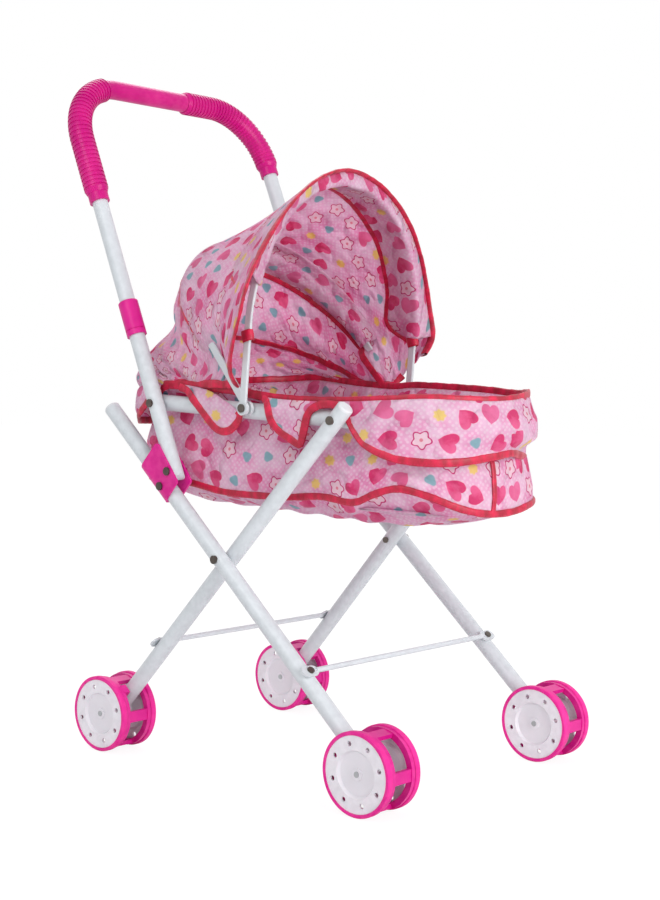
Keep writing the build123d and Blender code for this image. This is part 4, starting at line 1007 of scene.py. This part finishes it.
pad_ob = make_mesh("bassinet_floor_pad", verts, faces, pad_uv, SHADED_LINING)
weld(pad_ob)


def pad_place(co):
    """A point's place along the seat, across it and above it (mm)."""
    d = np.array(co) - SEAT
    return d @ seat_dir / mm, co[1] / mm, d @ seat_up / mm


group = pad_ob.vertex_groups.new(name="sewn")
start = [Vector(v.co) for v in pad_ob.data.vertices]
for v in pad_ob.data.vertices:
    s_, y_, u_ = pad_place(v.co)
    # the two diagonals, counted in quilt widths: sewn where one is close to a whole number
    channel = min(abs(d - round(d)) for d in ((s_ + y_) / QUILT, (s_ - y_) / QUILT))
    low = u_ < PAD_MIDDLE + 0.2
    if channel < SEWN_WIDE or low:
        group.add([v.index], 1.0, "REPLACE")
cloth = pad_ob.modifiers.new("stuffing", "CLOTH")
cloth.settings.vertex_group_mass = "sewn"
cloth.settings.quality = 5
cloth.settings.use_pressure = True
cloth.settings.uniform_pressure_force = 4.0
cloth.settings.effector_weights.gravity = 0.0
cloth.point_cache.frame_start, cloth.point_cache.frame_end = 1, PAD_FRAMES
for f in range(1, PAD_FRAMES + 1):
    bpy.context.scene.frame_set(f)
bake(pad_ob)
for v, was in zip(pad_ob.data.vertices, start):
    move = v.co - was
    if move.length > PAD_SWELL:
        v.co = was + move * (PAD_SWELL / move.length)
bpy.context.scene.frame_set(1)
pad_ob.vertex_groups.clear()
bag_pieces.append(pad_ob)

for ob in bag_pieces:
    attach(ob, "seat")
    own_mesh(ob)
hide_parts("bassinet_tub")
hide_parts("front_skirt")
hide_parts("rear_skirt")
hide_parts("side_flaps_right")
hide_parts("side_flaps_left")
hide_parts("rim_binding")
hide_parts("bassinet_pad")

# Nothing shows the cloth lying flat, so these sizes come from the modelled pieces: each area is its mesh's own, width
# and length are its longest row and column, or an estimate for the floor, the skirts and the side flaps.
tapes = [ob for ob in hood_pieces if not ob.name.endswith("sleeve") and ob is not canopy]

# ------------------------------------------------------------------ stage, light and camera


GLOW = 0.82


def stage_material(name, strength):
    """White: to the camera it is mostly its own light, to everything else only what falls on it."""
    n = Net(name)
    n.set(Base_Color=(0.9, 0.9, 0.9, 1), Roughness=0.9)
    emit = n.add("ShaderNodeEmission", {"Color": (1, 1, 1, 1), "Strength": strength})
    lit = n.shade(GLOW, n.bsdf.outputs[0], emit.outputs[0])
    n.shade(n.add("ShaderNodeLightPath").outputs["Is Camera Ray"], n.bsdf.outputs[0], lit)
    return n.mat


floor_me = bpy.data.meshes.new("studio_floor")
floor_me.from_pydata([(-6, -6, 0), (6, -6, 0), (6, 6, 0), (-6, 6, 0)], [], [(0, 1, 2, 3)])
floor_me.materials.append(stage_material("studio_floor_white", 1.10))
floor_obj = bpy.data.objects.new("studio_floor", floor_me)
bpy.context.scene.collection.objects.link(floor_obj)
floor_obj.location.z = -0.5 * mm

# the world: dim for lighting, white to the camera and in reflections
sky = Net("studio", "worlds", "Background", "World Output")
bpy.context.scene.world = sky.mat
sky.set(Color=(0.94, 0.95, 0.97, 1), Strength=0.62)
white = sky.add("ShaderNodeBackground", {"Color": (1, 1, 1, 1), "Strength": 1.0})
rays = sky.add("ShaderNodeLightPath").outputs
seen = sky.math("MAXIMUM", rays["Is Camera Ray"], rays["Is Glossy Ray"])
sky.shade(seen, sky.bsdf.outputs[0], white.outputs[0])


def area(name, loc, target, size, power):
    """A round light at loc, turned to target."""
    light = bpy.data.lights.new(name, "AREA")
    light.shape = "DISK"
    light.size = size
    light.energy = power
    ob = bpy.data.objects.new(name, light)
    bpy.context.scene.collection.objects.link(ob)
    ob.location = loc
    ob.rotation_euler = (Vector(target) - Vector(loc)).to_track_quat("-Z", "Y").to_euler()


area("key_light", (0.3, -1.7, 1.6), (0, 0, 0.28), 1.1, 9.5)
area("front_light", (1.5, -1.3, 0.75), (0, 0, 0.28), 1.3, 1.5)
area("fill_light", (1.7, -0.2, 0.62), (0, 0, 0.38), 1.2, 17)
area("top_light", (-0.9, 0.8, 1.8), (0, 0, 0.35), 1.4, 11)

# the camera solved from the photograph: radians, pixels, and metres from the floor under the rear axle
YAW, PITCH, ROLL = 2.28720, -0.050811, 0.013281
FOCAL_PX, PHOTO_PX, SENSOR = 1568.54, 660, 36.0
CAM_AHEAD, CAM_Y, CAM_Z = 0.98543, -0.97233, 0.31723
fw = np.array([math.cos(PITCH) * math.cos(YAW), math.cos(PITCH) * math.sin(YAW), math.sin(PITCH)])
right = unit(np.cross(fw, [0, 0, 1.0]))
upv = np.cross(right, fw)
r_ = math.cos(ROLL) * right + math.sin(ROLL) * upv
u_ = -math.sin(ROLL) * right + math.cos(ROLL) * upv
cam = bpy.data.cameras.new("photo_view")
cam.sensor_fit = "HORIZONTAL"
cam.sensor_width = SENSOR
cam.lens = FOCAL_PX / PHOTO_PX * SENSOR
cam.clip_start = 0.01
cam_ob = bpy.data.objects.new("photo_view", cam)
bpy.context.scene.collection.objects.link(cam_ob)
cam_ob.matrix_world = Matrix(((r_[0], u_[0], -fw[0], REAR_X + CAM_AHEAD), (r_[1], u_[1], -fw[1], CAM_Y),
                              (r_[2], u_[2], -fw[2], CAM_Z), (0, 0, 0, 1)))
bpy.context.scene.camera = cam_ob
bpy.context.scene.view_settings.view_transform = "Standard"
